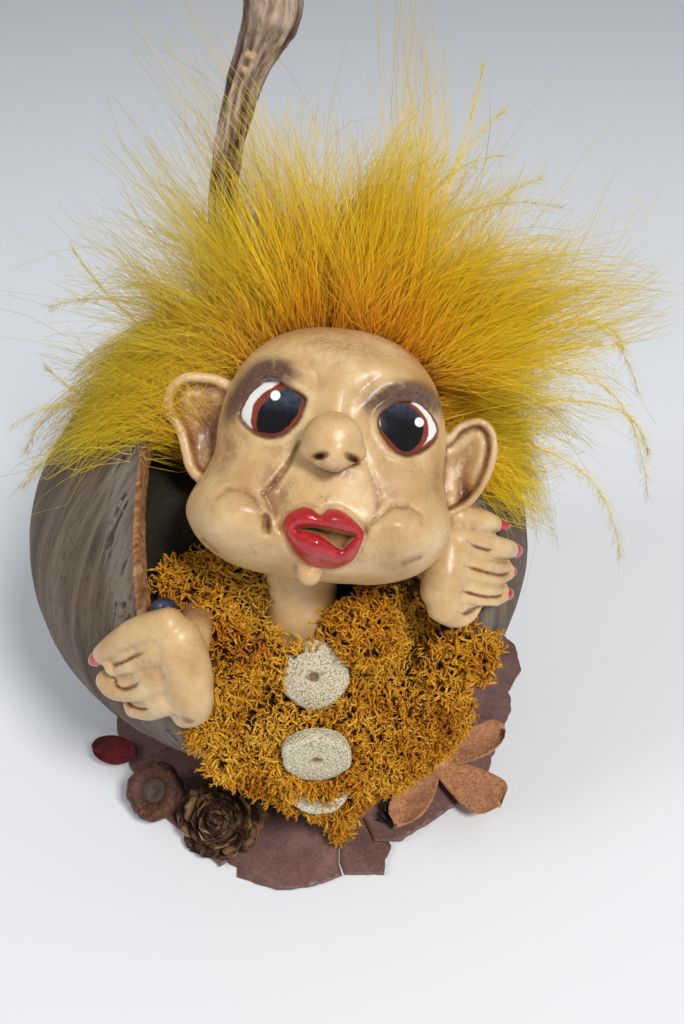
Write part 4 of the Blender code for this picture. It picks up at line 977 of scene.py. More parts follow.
# Hands: each finger as spots on the pod, x and z in millimetres and radius, knuckle first.
# A nail is its finger's number, half length, half width and how far it turns to the finger's end.
# A stain is x, z, half width, half height and strength.
HANDS = {
    "left": {
        "fingers": (((-24.5, 87.2, 3.7), (-31.0, 84.0, 3.5), (-37.0, 78.6, 3.1), (-41.2, 73.8, 2.4)),
                    ((-26.0, 81.8, 3.7), (-33.0, 77.4, 3.4), (-38.0, 72.6, 2.7)),
                    ((-26.5, 76.0, 3.9), (-32.5, 71.0, 3.7), (-38.5, 67.0, 3.1), (-41.6, 66.8, 2.5)),
                    ((-25.5, 70.5, 3.9), (-30.5, 65.8, 3.5), (-35.0, 62.4, 2.8)),
                    ((-20.4, 72.5, 4.4), (-20.8, 68.2, 3.9), (-22.8, 65.6, 3.4))),
        "palm": ((-22.6, 84.0, 4.8), (-21.8, 79.5, 5.4), (-21.4, 74.5, 5.4), (-21.8, 70.5, 5.0)),
        "wrist": (-21.0, -38.0, 76.0),
        "creases": (((-29.0, 83.0), (-32.8, 80.8), (-38.8, 75.0)),
                    ((-31.0, 76.2), (-34.9, 72.4), (-37.4, 70.6), (-40.4, 70.3)),
                    ((-29.8, 69.4), (-33.2, 66.2), (-38.1, 63.4))),
        "wrinkles": (),
        "nails": ((0, 2.2, 1.7, 0.15),),
        "stains": ((-21.8, 68.4, 1.5, 1.2, 0.9),),
    },
    "right": {
        "fingers": (((37.3, 96.4, 3.0), (41.2, 94.4, 2.9), (44.6, 91.6, 2.5), (46.6, 89.4, 1.9)),
                    ((36.6, 93.2, 3.4), (41.0, 90.8, 3.3), (46.2, 86.6, 3.0), (50.2, 82.6, 2.4)),
                    ((36.3, 89.2, 3.4), (41.7, 85.9, 3.3), (46.0, 82.0, 3.0), (49.0, 79.4, 2.4)),
                    ((35.0, 85.6, 3.5), (40.5, 81.8, 3.3), (44.6, 78.6, 3.0), (47.6, 75.9, 2.4)),
                    ((33.4, 82.6, 3.7), (36.0, 80.2, 3.2), (38.4, 78.8, 2.8), (40.8, 78.0, 2.2))),
        "palm": ((34.8, 92.0, 4.2), (33.8, 88.2, 4.8), (33.2, 85.0, 4.8)),
        "wrist": (27.0, -22.0, 80.0),
        "creases": (((38.5, 95.0), (44.8, 89.8)),
                    ((37.6, 91.2), (44.0, 86.7), (50.0, 81.0)),
                    ((36.4, 87.2), (42.8, 82.8), (48.2, 77.9)),
                    ((36.0, 83.3), (41.6, 79.2), (44.0, 77.0))),
        "wrinkles": (1, 2, 3),
        "nails": ((0, 2.4, 1.3, 0.0), (1, 1.9, 1.7, 0.2), (2, 1.5, 1.4, 0.5), (3, 1.7, 1.5, 0.3)),
        "stains": (),
    },
}
PALM_STAND_OFF = 0.6
BEAD_GAP = 0.5 * MM
NAIL_LOOK = (0.0, -0.45, 0.3)

POD_MIDDLE = (-4.0, 2.0, 62.5)
POD_CENTRE = np.array(POD_MIDDLE) * MM
POD_HALF = np.array((64.0, 58.0, 58.0)) * MM
POD_WALL = 7.0 * MM


def on_pod(x, z, stand_off):
    """The spot at x and z that stands off the front of the pod, all in millimetres."""
    half = POD_HALF / MM + stand_off
    rest = 1 - ((x - POD_MIDDLE[0]) / half[0]) ** 2 - ((z - POD_MIDDLE[2]) / half[2]) ** 2
    return np.array((x, POD_MIDDLE[1] - half[1] * math.sqrt(max(rest, 0.0)), z)) * MM


def bead_row(bm, spots, radii):
    """Balls so close along a curve that they make a smooth finger."""
    path = smooth_line([(*spot, radius) for spot, radius in zip(spots, radii)], 12)
    last = None
    for spot in path:
        if last is None or np.linalg.norm(spot[:3] - last[:3]) > BEAD_GAP:
            ball(bm, spot[:3], (spot[3],) * 3, 3)
            last = spot


def make_hand(word, hand, sink, skin, nail_paint):
    """Fingers side by side over the pod's rim and the back of the hand, pressed into one skin."""
    bm = bmesh.new()
    fingers, palm = hand["fingers"], hand["palm"]
    for finger in fingers:
        spots = [on_pod(x, z, radius) for x, z, radius in finger]
        spots[0][1] += sink * MM
        bead_row(bm, spots, [spot[2] * MM for spot in finger])
    spots = [on_pod(x, z, radius * PALM_STAND_OFF) + (0, sink * MM, 0) for x, z, radius in palm]
    bead_row(bm, spots, [spot[2] * MM for spot in palm])
    wrist = np.array(hand["wrist"]) * MM
    thick = palm[1][2] * 0.9 * MM
    bead_row(bm, [spots[1], (spots[1] + wrist) / 2, wrist], [thick, thick * 0.9, thick * 0.8])
    mesh = fused(bm, HAND_VOXEL)
    set_points(mesh, relaxed(points_of(mesh), edges_of(mesh), 9))

    def by_crease(centres):
        x, z = centres[:, 0] / MM, centres[:, 2] / MM
        return np.min([line_distance(x, z, line) for line in hand["creases"]], axis=0) < 0.9

    mesh = refined(mesh, by_crease)
    edges = edges_of(mesh)
    points = points_of(mesh)
    x, z = points[:, 0] / MM, points[:, 2] / MM
    front = ease(-normals_of(mesh)[:, 1], 0.0, 0.4)
    pressed = np.zeros(len(points))
    stain = np.zeros(len(points))
    for line in hand["creases"]:
        path = [tuple(spot) for spot in smooth_line(line, 4)]
        gap = line_distance(x, z, path)
        share = ease(np.hypot(x - path[0][0], z - path[0][1]), 0.3, 4.5)
        dip = 0.85 * peak(gap, 1.35) + 0.55 * peak(gap, 0.4)
        pressed = np.maximum(pressed, share * dip)
        # Painted shade along the creases between the fingers
        stain = np.maximum(stain, (0.25 + 0.75 * share) * 0.95 * peak(gap, 0.16 + 0.2 * share))
    for number in hand["wrinkles"]:
        (x0, z0, _), (x1, z1, radius) = fingers[number][1:3]
        run = np.array((x1 - x0, z1 - z0)) / math.hypot(x1 - x0, z1 - z0)
        for share in (0.25, 0.5, 0.75):
            from_x, from_z = x - x0 - (x1 - x0) * share, z - z0 - (z1 - z0) * share
            ahead, aside = from_x * run[0] + from_z * run[1], from_x * run[1] - from_z * run[0]
            pressed = np.maximum(pressed, bell(ahead, aside, (0, 0, 0.3, 0.5 * radius, 0.22)))
    points -= normals_of(mesh) * (pressed * front * MM)[:, None]
    points = relaxed(points, edges, 1)
    points += normals_of(mesh) * (noise(points, 4 * MM, 21, 3) * 0.10 * MM)[:, None]
    set_points(mesh, points)
    wash = 0.6 * dough_wash(mesh, 12, 0.4) + stain * front
    # Painted shade where the wrist goes into the moss
    moss_side = np.linalg.norm(points - wrist, axis=1) / MM
    wash += 0.5 * ease(-moss_side, -10.0, -5.0) + 0.2 * np.clip(noise(points, 6 * MM, 5, 3), 0, 1)
    for patch in hand["stains"]:
        wash += bell(x, z, patch)
    store(mesh, wash=wash, lid=wash * 0, lips=wash * 0)
    piece(word + "_hand_skin", mesh, skin, (word + "_hand",))

    nails = bmesh.new()
    tree = BVHTree.FromPolygons(points.tolist(), [tuple(face.vertices) for face in mesh.polygons])
    for number, length, width, turn in hand["nails"]:
        before, end = [on_pod(*spot) for spot in fingers[number][-2:]]
        run = unit(end - before)
        out = unit(unit((end - POD_CENTRE) / POD_HALF ** 2) + NAIL_LOOK)
        aim = unit(out * (1 - turn) + run * turn)
        reach = end + run * fingers[number][-1][2] * 0.7 * (1 - turn) * MM
        hit = tree.ray_cast(Vector(reach + aim * 9 * MM), Vector(-aim))
        across = unit(np.cross(run, aim))
        frame_axes = Matrix((unit(np.cross(aim, across)), across, aim)).transposed().to_4x4()
        seat = hit[0] if hit[0] else Vector(reach)
        grid = ball(nails, (0, 0, 0), (length * MM, width * MM, 0.6 * MM), 5)
        for vert in grid:
            share = vert.co.x / (length * MM)
            vert.co.y *= 1 - 0.45 * max(share, 0) ** 2
            vert.co.z += (0.15 - 0.55 * (vert.co.y / (width * MM)) ** 2 - 0.2 * share ** 2) * MM
        bmesh.ops.transform(nails, matrix=Matrix.Translation(seat) @ frame_axes, verts=grid)
    shape = mesh_of(word + "_nails", nails)
    shape.shade_smooth()
    piece(word + "_nails", shape, nail_paint)


def nail_finish():
    f = Finish("nail_paint", coat_weight=0.8, coat_roughness=0.06)
    cloud = f.cloud(0.7 * MM, 4, 0.6)
    colour = f.ramp(cloud, (0.3, (136, 22, 38)), (0.7, (192, 58, 70)))
    return f.dress(colour, f.span(cloud, 0.2, 0.8, 0.14, 0.3), f.relief(cloud, 0.06 * MM, 0.5))


# Hair: tufts of down, each with its own axis, and barbs that run along it


# How far the tufts reach in millimetres, by their angle round the face: 0 is up, right is positive
HAIR_REACH = ((-112, 19), (-98, 25), (-80, 32), (-60, 35), (-40, 37), (-15, 43), (5, 45), (25, 46), (45, 43),
              (62, 37), (80, 31), (95, 24), (108, 18))
# Rows of tufts: tilt back from the brow and lean of the tufts in degrees, and their number
HAIR_ROWS = ((1.0, 0.0, 42), (9.0, 4.0, 40), (18.0, 11.0, 38), (29.0, 22.0, 32), (43.0, 36.0, 26),
             (60.0, 50.0, 16))
# The angles round the face between which hair grows, and the least tilt and lean back beside the ears
HAIR_SPAN = (-99, 94)
BEHIND_EARS = (20.0, 33.0)
# Barbs in a tuft, points in a barb and wisps that a tuft's barbs gather into
BARBS = 150
BARB_STEPS = 10
WISPS_PER_TUFT = 7
# Loose barbs: how many anywhere, and how many more at the left ear
LOOSE_BARBS = (420, 90)
# Long feather shafts: angle at the scalp, angle they bend to, lean back and length in millimetres
SHAFTS = ((10, 14, 22, 72), (15, 20, 14, 80), (19, 12, 8, 78), (11, 44, 16, 72), (21, 34, 12, 66),
          (2, -14, 25, 60), (-3, 18, 12, 52), (8, 26, 20, 76), (38, 80, 14, 74), (46, 72, 20, 76),
          (54, 98, 10, 74), (66, 88, 12, 70), (76, 110, 14, 62), (56, 60, 24, 66), (-32, -16, 14, 58),
          (-37, -44, 20, 56), (-52, -74, 14, 58), (-64, -54, 12, 58), (-78, -98, 12, 56), (-88, -74, 14, 54),
          (-92, -106, 12, 50), (-84, -100, 20, 54))
SHAFT_STEPS = 20
SHAFT_BARBS = 170
SHAFT_BARB_LENGTH = 4.0
SHAFT_BARB_STEPS = 5
# Where strands start to bend back into the part's box, and where they end: axis, sign and millimetres
HAIR_LIMITS = ((0, 1, 68, 97), (0, -1, 64, 86), (1, 1, 44, 70), (1, -1, 48, 70), (2, 1, 185, 208),
               (2, -1, -58, -24))


def held_in_box(points):
    """Bend strands back smoothly where they would leave the part's box."""
    for axis, sign, start, limit in HAIR_LIMITS:
        room = (limit - start) * MM
        past = np.maximum(sign * points[..., axis] - start * MM, 0)
        points[..., axis] -= sign * (past - room * (1 - np.exp(-past / room)))
    return points


def lifted(points, share, loft):
    """Move strands out of the pod's wall to their loft over it, more the further along they are."""
    inner = points - POD_CENTRE
    depth = np.linalg.norm(inner / (POD_HALF + loft), axis=-1)
    target = POD_CENTRE + inner / np.maximum(depth, 1e-6)[..., None]
    weight = (ease(share, 0.12, 0.5) * (depth < 1))[..., None]
    return points + (target - points) * weight


def round_head(tilt, angle):
    """Directions from the head's centre at a tilt back and an angle round the face, in degrees."""
    tilt, angle = np.radians(tilt), np.radians(angle)
    return np.column_stack((np.cos(tilt) * np.sin(angle), np.sin(tilt), np.cos(tilt) * np.cos(angle)))


def hair_tufts(rng):
    """The foot, axis, reach and angle of each tuft of down."""
    parts = []
    for tilt, lean, count in HAIR_ROWS:
        low, high = HAIR_SPAN
        angle = low + (high - low) * (np.arange(count) + rng.uniform(-0.35, 0.35, count) + 0.5) / count
        beside = ease(np.abs(angle), 48, 66)
        back = np.maximum(tilt + rng.uniform(-4, 5, count), beside * BEHIND_EARS[0])
        lean_back = np.maximum(lean, beside * BEHIND_EARS[1]) + rng.normal(0, 9, count)
        foot = head_skin(round_head(back, angle)) * 0.985
        axis = round_head(lean_back, angle + rng.normal(0, 10, count))
        reach = np.interp(angle, *zip(*HAIR_REACH)) * rng.uniform(0.74, 1.12, count)
        reach *= 1 - 0.35 * ease(np.full(count, tilt), 30, 62)
        parts.append((foot, axis, reach, angle))
    turn = np.array(HEAD.to_3x3())
    foot, axis, reach, angle = [np.concatenate(part) for part in zip(*parts)]
    return foot @ turn.T + HEAD_CENTRE, axis @ turn.T, reach * MM, angle


def make_hair():
    rng = np.random.default_rng(11)
    roots, axes, reaches, angles = hair_tufts(rng)
    locks = len(roots)
    bends = np.clip(rng.normal(0, 0.28, (locks, 3)), -0.42, 0.42) + np.array((0, 0, -0.1))
    bends[:, 2] += 0.22 * ease(np.abs(angles), 68, 92)
    curls = np.clip(rng.normal(0, 0.16, (locks, 3)), -0.22, 0.22)
    gather = rng.uniform(0.2, 0.95, locks)
    sides = rng.normal(0, 1, (locks * WISPS_PER_TUFT, 3))
    widths = np.abs(rng.normal(0, 1, locks * WISPS_PER_TUFT))
    phases = rng.uniform(0, 2 * np.pi, (locks * WISPS_PER_TUFT, 3))
    rates = rng.uniform(2.5, 7.5, (locks * WISPS_PER_TUFT, 3))

    def strands(owner, splay, length_low, length_high, start_high, wander, seed):
        maker = np.random.default_rng(seed)
        count = len(owner)
        start = start_high * maker.random(count) ** 2
        share = np.linspace(0, 1, BARB_STEPS)
        length = maker.uniform(length_low, length_high, count)
        along = start[:, None] + (1 - start[:, None]) * share * length[:, None]
        reach = reaches[owner][:, None]
        axis, bend = axes[owner], bends[owner]
        wisp = owner * WISPS_PER_TUFT + maker.integers(0, WISPS_PER_TUFT, count)
        line = along[..., None] * axis[:, None] + (along ** 2)[..., None] * bend[:, None]
        line += (along ** 3 - 0.4 * along)[..., None] * curls[owner][:, None] * along[..., None]
        aside = sides[wisp] + maker.normal(0, 0.45, (count, 3))
        aside -= np.einsum("ij,ij->i", aside, axis)[:, None] * axis
        spread = np.sin(np.radians(splay)) * np.abs(widths[wisp] + maker.normal(0, 0.3, count))
        narrow = 1 - 0.85 * gather[owner][:, None] * (share ** 1.4)[None]
        fan = (share ** 0.75)[None] * narrow * spread[:, None] * length[:, None]
        line = line + unit(aside)[:, None] * fan[..., None]
        points = roots[owner][:, None] + line * reach[..., None]
        points += maker.normal(0, 0.8, (count, 1, 3)) * MM
        phase = (phases[wisp] + maker.normal(0, 0.4, (count, 3)))[:, None]
        rate = (rates[wisp] * maker.uniform(0.9, 1.1, (count, 1)))[:, None]
        wave = np.sin(share[None, :, None] * rate + phase) - np.sin(phase)
        points += wave * (wander * MM) * maker.uniform(0.4, 1.0, (count, 1, 1)) * share[None, :, None]
        loft = maker.uniform(0.8, 8.0, (count, 1, 1)) * MM
        return held_in_box(lifted(points, np.broadcast_to(share, (count, BARB_STEPS)), loft)), along

    owner = np.repeat(np.arange(locks), BARBS)
    clumped, along = strands(owner, 17.0, 0.5, 1.1, 0.35, 4.2, 5)
    maker = np.random.default_rng(6)
    radii = 0.058 * MM * np.linspace(1.0, 0.45, BARB_STEPS) * maker.uniform(0.6, 1.3, (len(owner), 1))
    # Painted shade: tufts low on the left side are darker, on top of a random tone for each tuft
    shade = np.interp(angles, (-112, -78, -40), (0.45, 0.8, 1.0)) * maker.uniform(0.7, 1.0, locks)
    tone = (maker.uniform(0, 1, len(owner)) * shade[owner])[:, None] * np.ones(BARB_STEPS)
    crown = peak(angles[owner] - 8, 42)[:, None] * np.ones(BARB_STEPS)
    finish = hair_finish()
    nodes = [["plume_1_01"], ["plume_1_02"], ["plume_1_03"], ["plume_1_04"], ["plume_1_05", "plume_2_06"],
             ["plume_2_01"], ["plume_2_02"], ["plume_2_03", "plume_2_04"], ["plume_2_05"]]
    order = np.argsort(owner % len(nodes), kind="stable")
    for number, chosen in enumerate(np.array_split(order, len(nodes))):
        mesh = tubes("down_%d" % number, clumped[chosen], radii[chosen], 3, along=along[chosen],
                     tone=tone[chosen], crown=crown[chosen])
        piece("down_%d" % (number + 1), mesh, finish, nodes[number])

    anywhere, by_ear = LOOSE_BARBS
    owner = maker.integers(0, locks, anywhere)
    owner = np.concatenate((owner, maker.choice(np.flatnonzero(angles < -86), by_ear)))
    loose, along = strands(owner, 18.0, 0.95, 1.3, 0.1, 6.0, 19)
    radii = 0.075 * MM * np.linspace(1.0, 0.55, BARB_STEPS) * maker.uniform(0.7, 1.2, (len(owner), 1))
    tone = maker.uniform(0.2, 0.9, (len(owner), 1)) * np.ones(BARB_STEPS)
    mesh = tubes("wisps", loose, radii, 3, along=along, tone=tone, crown=tone * 0)
    piece("down_wisps", mesh, finish)
    make_shafts(finish)


def make_shafts(finish):
    """Long curved feather shafts that stand out of the down, with barbs along both sides."""
    maker = np.random.default_rng(29)
    start, end, lean, length = np.array(SHAFTS, float).T
    turn = np.array(HEAD.to_3x3()).T
    root = head_skin(round_head(lean, start)) @ turn + HEAD_CENTRE
    ahead, aside = round_head(lean, start) @ turn, round_head(lean + 6, end) @ turn
    share = np.linspace(0, 1, SHAFT_STEPS)[None, :, None]
    length = (length * MM)[:, None, None]
    lines = root[:, None] + ahead[:, None] * (2 * share * (1 - share) * 0.6 * length)
    lines += (aside[:, None] * length + maker.normal(0, 1.5, (len(start), 1, 3)) * MM) * share ** 2
    lines[..., 2] -= 0.05 * length[..., 0] * share[..., 0] ** 3
    loft = maker.uniform(2.0, 9.0, (len(start), 1, 1)) * MM
    lines = held_in_box(lifted(lines, np.broadcast_to(share[..., 0], lines.shape[:2]), loft))
    along = np.broadcast_to(share[..., 0], lines.shape[:2])
    tone = np.broadcast_to(maker.uniform(0.25, 0.75, (len(start), 1)), along.shape)
    thick = 0.15 * MM * np.broadcast_to(np.linspace(1.0, 0.35, SHAFT_STEPS), along.shape)
    mesh = tubes("shafts", lines, thick, 5, along=along, tone=tone, crown=tone * 0)
    piece("feather_shafts", mesh, finish)

    owner = np.repeat(np.arange(len(start)), SHAFT_BARBS)
    count = len(owner)
    spot = maker.uniform(0.22, 1.0, count) ** 0.8 * (SHAFT_STEPS - 1.001)
    step = spot.astype(int)
    low, high = lines[owner, step], lines[owner, step + 1]
    foot = low + (high - low) * (spot - step)[:, None]
    run = unit(high - low)
    flat = unit(np.cross(run, unit(maker.normal(0, 1, (len(start), 3)) + (0, 1.5, 0))[owner]))
    sign = np.where(np.arange(count) % 2, 1, -1)[:, None]
    go = unit(run * 0.9 + flat * sign * 0.55 + maker.normal(0, 0.22, (count, 3)))
    bend = run * 0.5 + maker.normal(0, 0.3, (count, 3))
    size = SHAFT_BARB_LENGTH * maker.uniform(0.5, 1.1, count) * (1.15 - 0.6 * spot / SHAFT_STEPS)
    points = SHAFT_BARB_STEPS
    reach = np.linspace(0, 1, points)[None, :, None] * (size * MM)[:, None, None]
    barbs = foot[:, None] + go[:, None] * reach
    barbs = barbs + bend[:, None] * reach * np.linspace(0, 0.7, points)[None, :, None]
    thick = 0.045 * MM * np.linspace(1.0, 0.5, points) * maker.uniform(0.7, 1.2, (count, 1))
    part = np.broadcast_to((spot / SHAFT_STEPS)[:, None], (count, points))
    tone = maker.uniform(0.3, 1.0, (count, 1)) * np.ones(points)
    mesh = tubes("barbs", barbs, thick, 3, along=part, tone=tone, crown=tone * 0)
    piece("feather_barbs", mesh, finish)


def hair_finish():
    """Dyed down: orange at the root over the brow, lemon yellow along, olive at the tip."""
    f = Finish("down", specular_ior_level=0.35, sheen_weight=0.1)
    along, crown, tone = f.read("along"), f.read("crown"), f.read("tone")
    colour = f.ramp(along, (0.0, (232, 158, 0)), (0.2, (240, 186, 0)), (0.5, (238, 202, 4)),
                    (0.80, (222, 194, 10)), (1.0, (184, 164, 14)))
    warm = f.ramp(along, (0.0, (240, 132, 0)), (0.2, (242, 160, 0)), (0.55, (240, 190, 0)),
                  (1.0, (220, 190, 10)))
    colour = f.blend(f.span(crown, 0.2, 1.0, 0.0, 0.7), colour, warm)
    colour = f.blend(f.span(tone, 0.6, 1.0, 0.0, 0.5), colour, (250, 232, 70))
    # Strands of low tone turn dark olive: at random, and as painted shade on the lower left
    colour = f.blend(f.span(tone, 0.35, 0.0, 0.0, 0.42), colour, (150, 118, 0))
    return f.dress(colour, f.span(tone, 0, 1, 0.5, 0.35))


# Moss


MOSS_NODES = ("moss_left", "moss_right", "moss_placket", "moss_tail", "moss_shoulder_left",
              "moss_shoulder_right")
MOSS_SINK = 1.7
MOSS_SPRIGS = 3600
# Tufts that fill the coat's edges, by the neck, the wrists and the rim: place and half sizes in millimetres
MOSS_TUFTS = (
    (-25.5, -31.0, 80.0, 5.0, 5.0, 6.5), (-17.0, -29.0, 79.0, 7.0, 5.0, 8.5),
    (-9.0, -30.0, 75.0, 5.0, 5.0, 7.0), (-22.0, -35.0, 68.0, 7.0, 5.0, 8.0),
    (-14.0, -38.5, 66.0, 7.5, 6.5, 9.0), (-8.0, -38.0, 64.0, 6.0, 7.0, 8.0),
    (1.5, -43.0, 64.5, 7.0, 4.0, 5.5), (12.0, -36.0, 67.0, 6.0, 6.0, 8.0), (21.0, -31.0, 70.0, 8.0, 6.0, 8.0),
    (29.0, -30.0, 67.5, 8.0, 6.0, 8.0), (36.0, -31.0, 62.0, 7.0, 6.0, 8.0),
    (42.0, -33.0, 56.0, 6.0, 7.0, 8.0), (-14.5, -44.0, 61.0, 6.0, 5.5, 6.0),
    (-20.0, -50.0, 50.0, 4.5, 4.0, 6.5), (-17.0, -51.0, 42.0, 5.0, 4.0, 6.5),
    (3.0, -58.0, 41.0, 8.5, 2.2, 3.5), (3.5, -51.0, 29.0, 9.0, 5.0, 5.0), (5.5, -47.5, 21.5, 7.0, 4.5, 6.0),
    (8.0, -46.0, 14.5, 5.2, 4.2, 6.0), (9.0, -47.0, 8.5, 3.2, 3.4, 4.5), (9.3, -48.3, 4.9, 1.8, 2.0, 2.4),
    (36.5, -37.5, 62.0, 6.0, 6.0, 7.0), (40.0, -36.0, 65.0, 5.0, 5.0, 5.0),
    (34.5, -41.0, 56.0, 6.0, 6.0, 8.0), (-18.5, -36.0, 74.0, 5.0, 5.5, 6.0),
    (-14.0, -40.0, 70.0, 5.0, 4.5, 6.0), (-13.0, -43.0, 65.5, 6.0, 5.5, 6.5),
    (-16.0, -47.0, 62.0, 4.5, 4.5, 6.5), (26.0, -30.0, 71.0, 6.0, 6.0, 6.0),
)
# Each button's height, tilt and depth in the moss
BUTTONS = {
    "button_top": (61.5, 30.0, 0.8),
    "button_middle": (49.5, 0.0, 0.8),
    "button_bottom": (39.1, 28.0, 6.7),
}
BUTTON_RADIUS = 8.2
BUTTON_THICKNESS = 3.6
BUTTON_SIDES = 150
# How far over and under a button the moss is kept off it, in millimetres
BUTTON_REACH = 7
BELLY_CENTRE = (5.5, -2.0, 38.0)
BELLY_HALF = (48.0, 56.0, 32.0)


def button_matrix(height, tilt, sink):
    """A button's place on the belly's curve and its turn, from its height, tilt and depth."""
    tilt = math.radians(tilt)
    out = Vector((0.0, -math.cos(tilt), math.sin(tilt)))
    x, proud = BELLY_CENTRE[0] - 0.8, 1.6
    half_x, half_y, half_z = [half + proud for half in BELLY_HALF]
    rest = 1 - ((x - BELLY_CENTRE[0]) / half_x) ** 2 - ((height - BELLY_CENTRE[2]) / half_z) ** 2
    seat = Vector((x, BELLY_CENTRE[1] - half_y * math.sqrt(max(rest, 0.0)), height)) * MM
    turn = out.to_track_quat("Z", "Y").to_matrix().to_4x4()
    return Matrix.Translation(seat + out * (BUTTON_THICKNESS / 2 - sink) * MM) @ turn


def nodes_mesh(names):
    """One bmesh of these nodes of the CAD frame."""
    bm = bmesh.new()
    for name in names:
        bm.from_mesh(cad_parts[name].data)
    return bm


def sheltered(points, names):
    """Which points lie well inside these nodes."""
    bm = nodes_mesh(names)
    tree = BVHTree.FromBMesh(bm)
    bm.free()
    found = np.zeros(len(points), bool)
    for k, point in enumerate(points):
        spot, normal, _, gap = tree.find_nearest(Vector(point))
        found[k] = (Vector(point) - spot).dot(normal) < -0.9 * gap - 0.1 * MM
    return found


def sprig_paths(rng, start, heading, length, steps, curl):
    """Curved strands from start points along headings that turn as they go."""
    count = len(start)
    axis = unit(rng.normal(0, 1, (count, 3)))
    bend = rng.uniform(0.4, 1.0, count) * curl
    points, here, ahead = [start], start, heading
    for _ in range(steps):
        ahead = ahead + np.cross(axis, ahead) * (bend / steps)[:, None] + rng.normal(0, 0.10, (count, 3))
        ahead = unit(ahead)
        here = here + ahead * (length / steps)[:, None]
        points.append(here)
    return np.stack(points, 1), ahead


def make_moss():
    lumps = nodes_mesh([name for name in MOSS_NODES if name != "moss_tail"])
    for tuft in MOSS_TUFTS:
        ball(lumps, np.array(tuft[:3]) * MM, np.array(tuft[3:]) * MM, 4)
    bed = fused(lumps, MOSS_VOXEL)
    points = relaxed(points_of(bed), edges_of(bed), 2)
    set_points(bed, points)
    normal = normals_of(bed)
    rng = np.random.default_rng(23)
    bed.calc_loop_triangles()
    corners = np.zeros(len(bed.loop_triangles) * 3, np.int32)
    bed.loop_triangles.foreach_get("vertices", corners)
    corners = corners.reshape(-1, 3)
    a, b, c = points[corners[:, 0]], points[corners[:, 1]], points[corners[:, 2]]
    area = np.linalg.norm(np.cross(b - a, c - a), axis=1) / 2
    middle = (a + b + c) / 3
    outward = np.array((math.sin(math.radians(10)), -math.cos(math.radians(10)), 0.4))
    open_air = (unit(np.cross(b - a, c - a)) @ unit(outward) > -0.15) & (middle[:, 1] < -8 * MM)
    chance = area * open_air
    count = MOSS_SPRIGS
    chosen = rng.choice(len(corners), count, p=chance / chance.sum())
    u, v = rng.random((2, count))
    flip = u + v > 1
    u, v = np.where(flip, 1 - u, u), np.where(flip, 1 - v, v)
    spot = a[chosen] + (b - a)[chosen] * u[:, None] + (c - a)[chosen] * v[:, None]
    up = unit(normal[corners[chosen, 0]])

    start = spot - up * MOSS_SINK * MM
    heading = unit(up * 1.0 + rng.normal(0, 0.55, (count, 3)))
    length = rng.uniform(1.8, 3.3, count) * MM
    trunk, ahead = sprig_paths(rng, start, heading, length, 4, 1.1)
    # Each block of sprigs: paths, radii, sides, and the height stored at the foot and at the tip
    blocks = [(trunk, np.linspace(0.38, 0.31, 5), 5, 0.15, 0.6)]
    foot = np.concatenate((trunk[:, -1], trunk[:, 2]))
    ahead = np.concatenate((ahead, unit(ahead + rng.normal(0, 0.9, (count, 3)))))
    lift = np.concatenate((up, up))
    side = unit(np.cross(ahead, lift) + rng.normal(0, 0.5, ahead.shape))
    twigs, ends = [], []
    for sign in (-1, 1):
        go = unit(ahead * 0.75 + side * sign * rng.uniform(0.5, 1.1, (len(side), 1)) - lift * 0.15)
        path, last = sprig_paths(rng, foot, go, rng.uniform(1.0, 2.4, len(go)) * MM, 3, 1.6)
        twigs.append(path)
        ends.append(last)
        blocks.append((path, np.linspace(0.30, 0.21, 4), 4, 0.5, 0.85))
    twig, end, lift = np.concatenate(twigs), np.concatenate(ends), np.concatenate((lift, lift))
    side = unit(np.cross(end, lift) + rng.normal(0, 0.6, end.shape))
    for sign in (-1, 1):
        go = unit(end * 0.8 + side * sign * 0.8)
        path, _ = sprig_paths(rng, twig[:, -1], go, rng.uniform(0.4, 1.0, len(go)) * MM, 2, 1.4)
        blocks.append((path, np.array((0.20, 0.16, 0.08)), 3, 0.8, 1.0))

    finish = moss_finish()
    blocked = ["seed_pod", "head", "neck", "left_hand", "right_hand", "berry", "larch_cone", "beech_husk",
               "leaf_front", "leaf_front_right"]
    holes = [np.array(button_matrix(*button).inverted()) for button in BUTTONS.values()]
    for number, (paths, radii, sides, low, high) in enumerate(blocks):
        tips = paths[:, -1]
        keep = ~sheltered(tips, blocked)
        for hole in holes:
            for spots in (tips, paths[:, len(radii) // 2]):
                local = (spots @ hole[:3, :3].T + hole[:3, 3]) / MM
                across = np.hypot(local[:, 0], local[:, 1]) + 1.1 * noise(local, 3.0, 31)
                shown = (across < BUTTON_RADIUS - 0.7) & (local[:, 2] < BUTTON_REACH)
                shown &= local[:, 2] > -BUTTON_THICKNESS / 2
                if hole is holes[-1]:
                    down = unit(hole[:3, :3] @ (0.1, 0, -1) * (1, 1, 0))
                    shown = (across < BUTTON_RADIUS + 0.6) & (np.abs(local[:, 2]) < BUTTON_REACH)
                    shown &= local @ down > BUTTON_RADIUS - 3.0
                keep &= ~shown
        paths = paths[keep]
        shade = noise(paths[:, 0], 9 * MM, 41, 2)[:, None] * 0.5 + 0.5 + rng.normal(0, 0.16, (len(paths), 1))
        heights = np.linspace(low, high, len(radii)) * np.ones((len(paths), 1))
        sizes = radii * MM * rng.uniform(0.8, 1.25, (len(paths), 1))
        tone = shade * np.ones(len(radii))
        mesh = tubes("moss_%d" % number, paths, sizes, sides, height=heights, tone=tone)
        piece("moss_sprigs_%d" % (number + 1), mesh, finish)

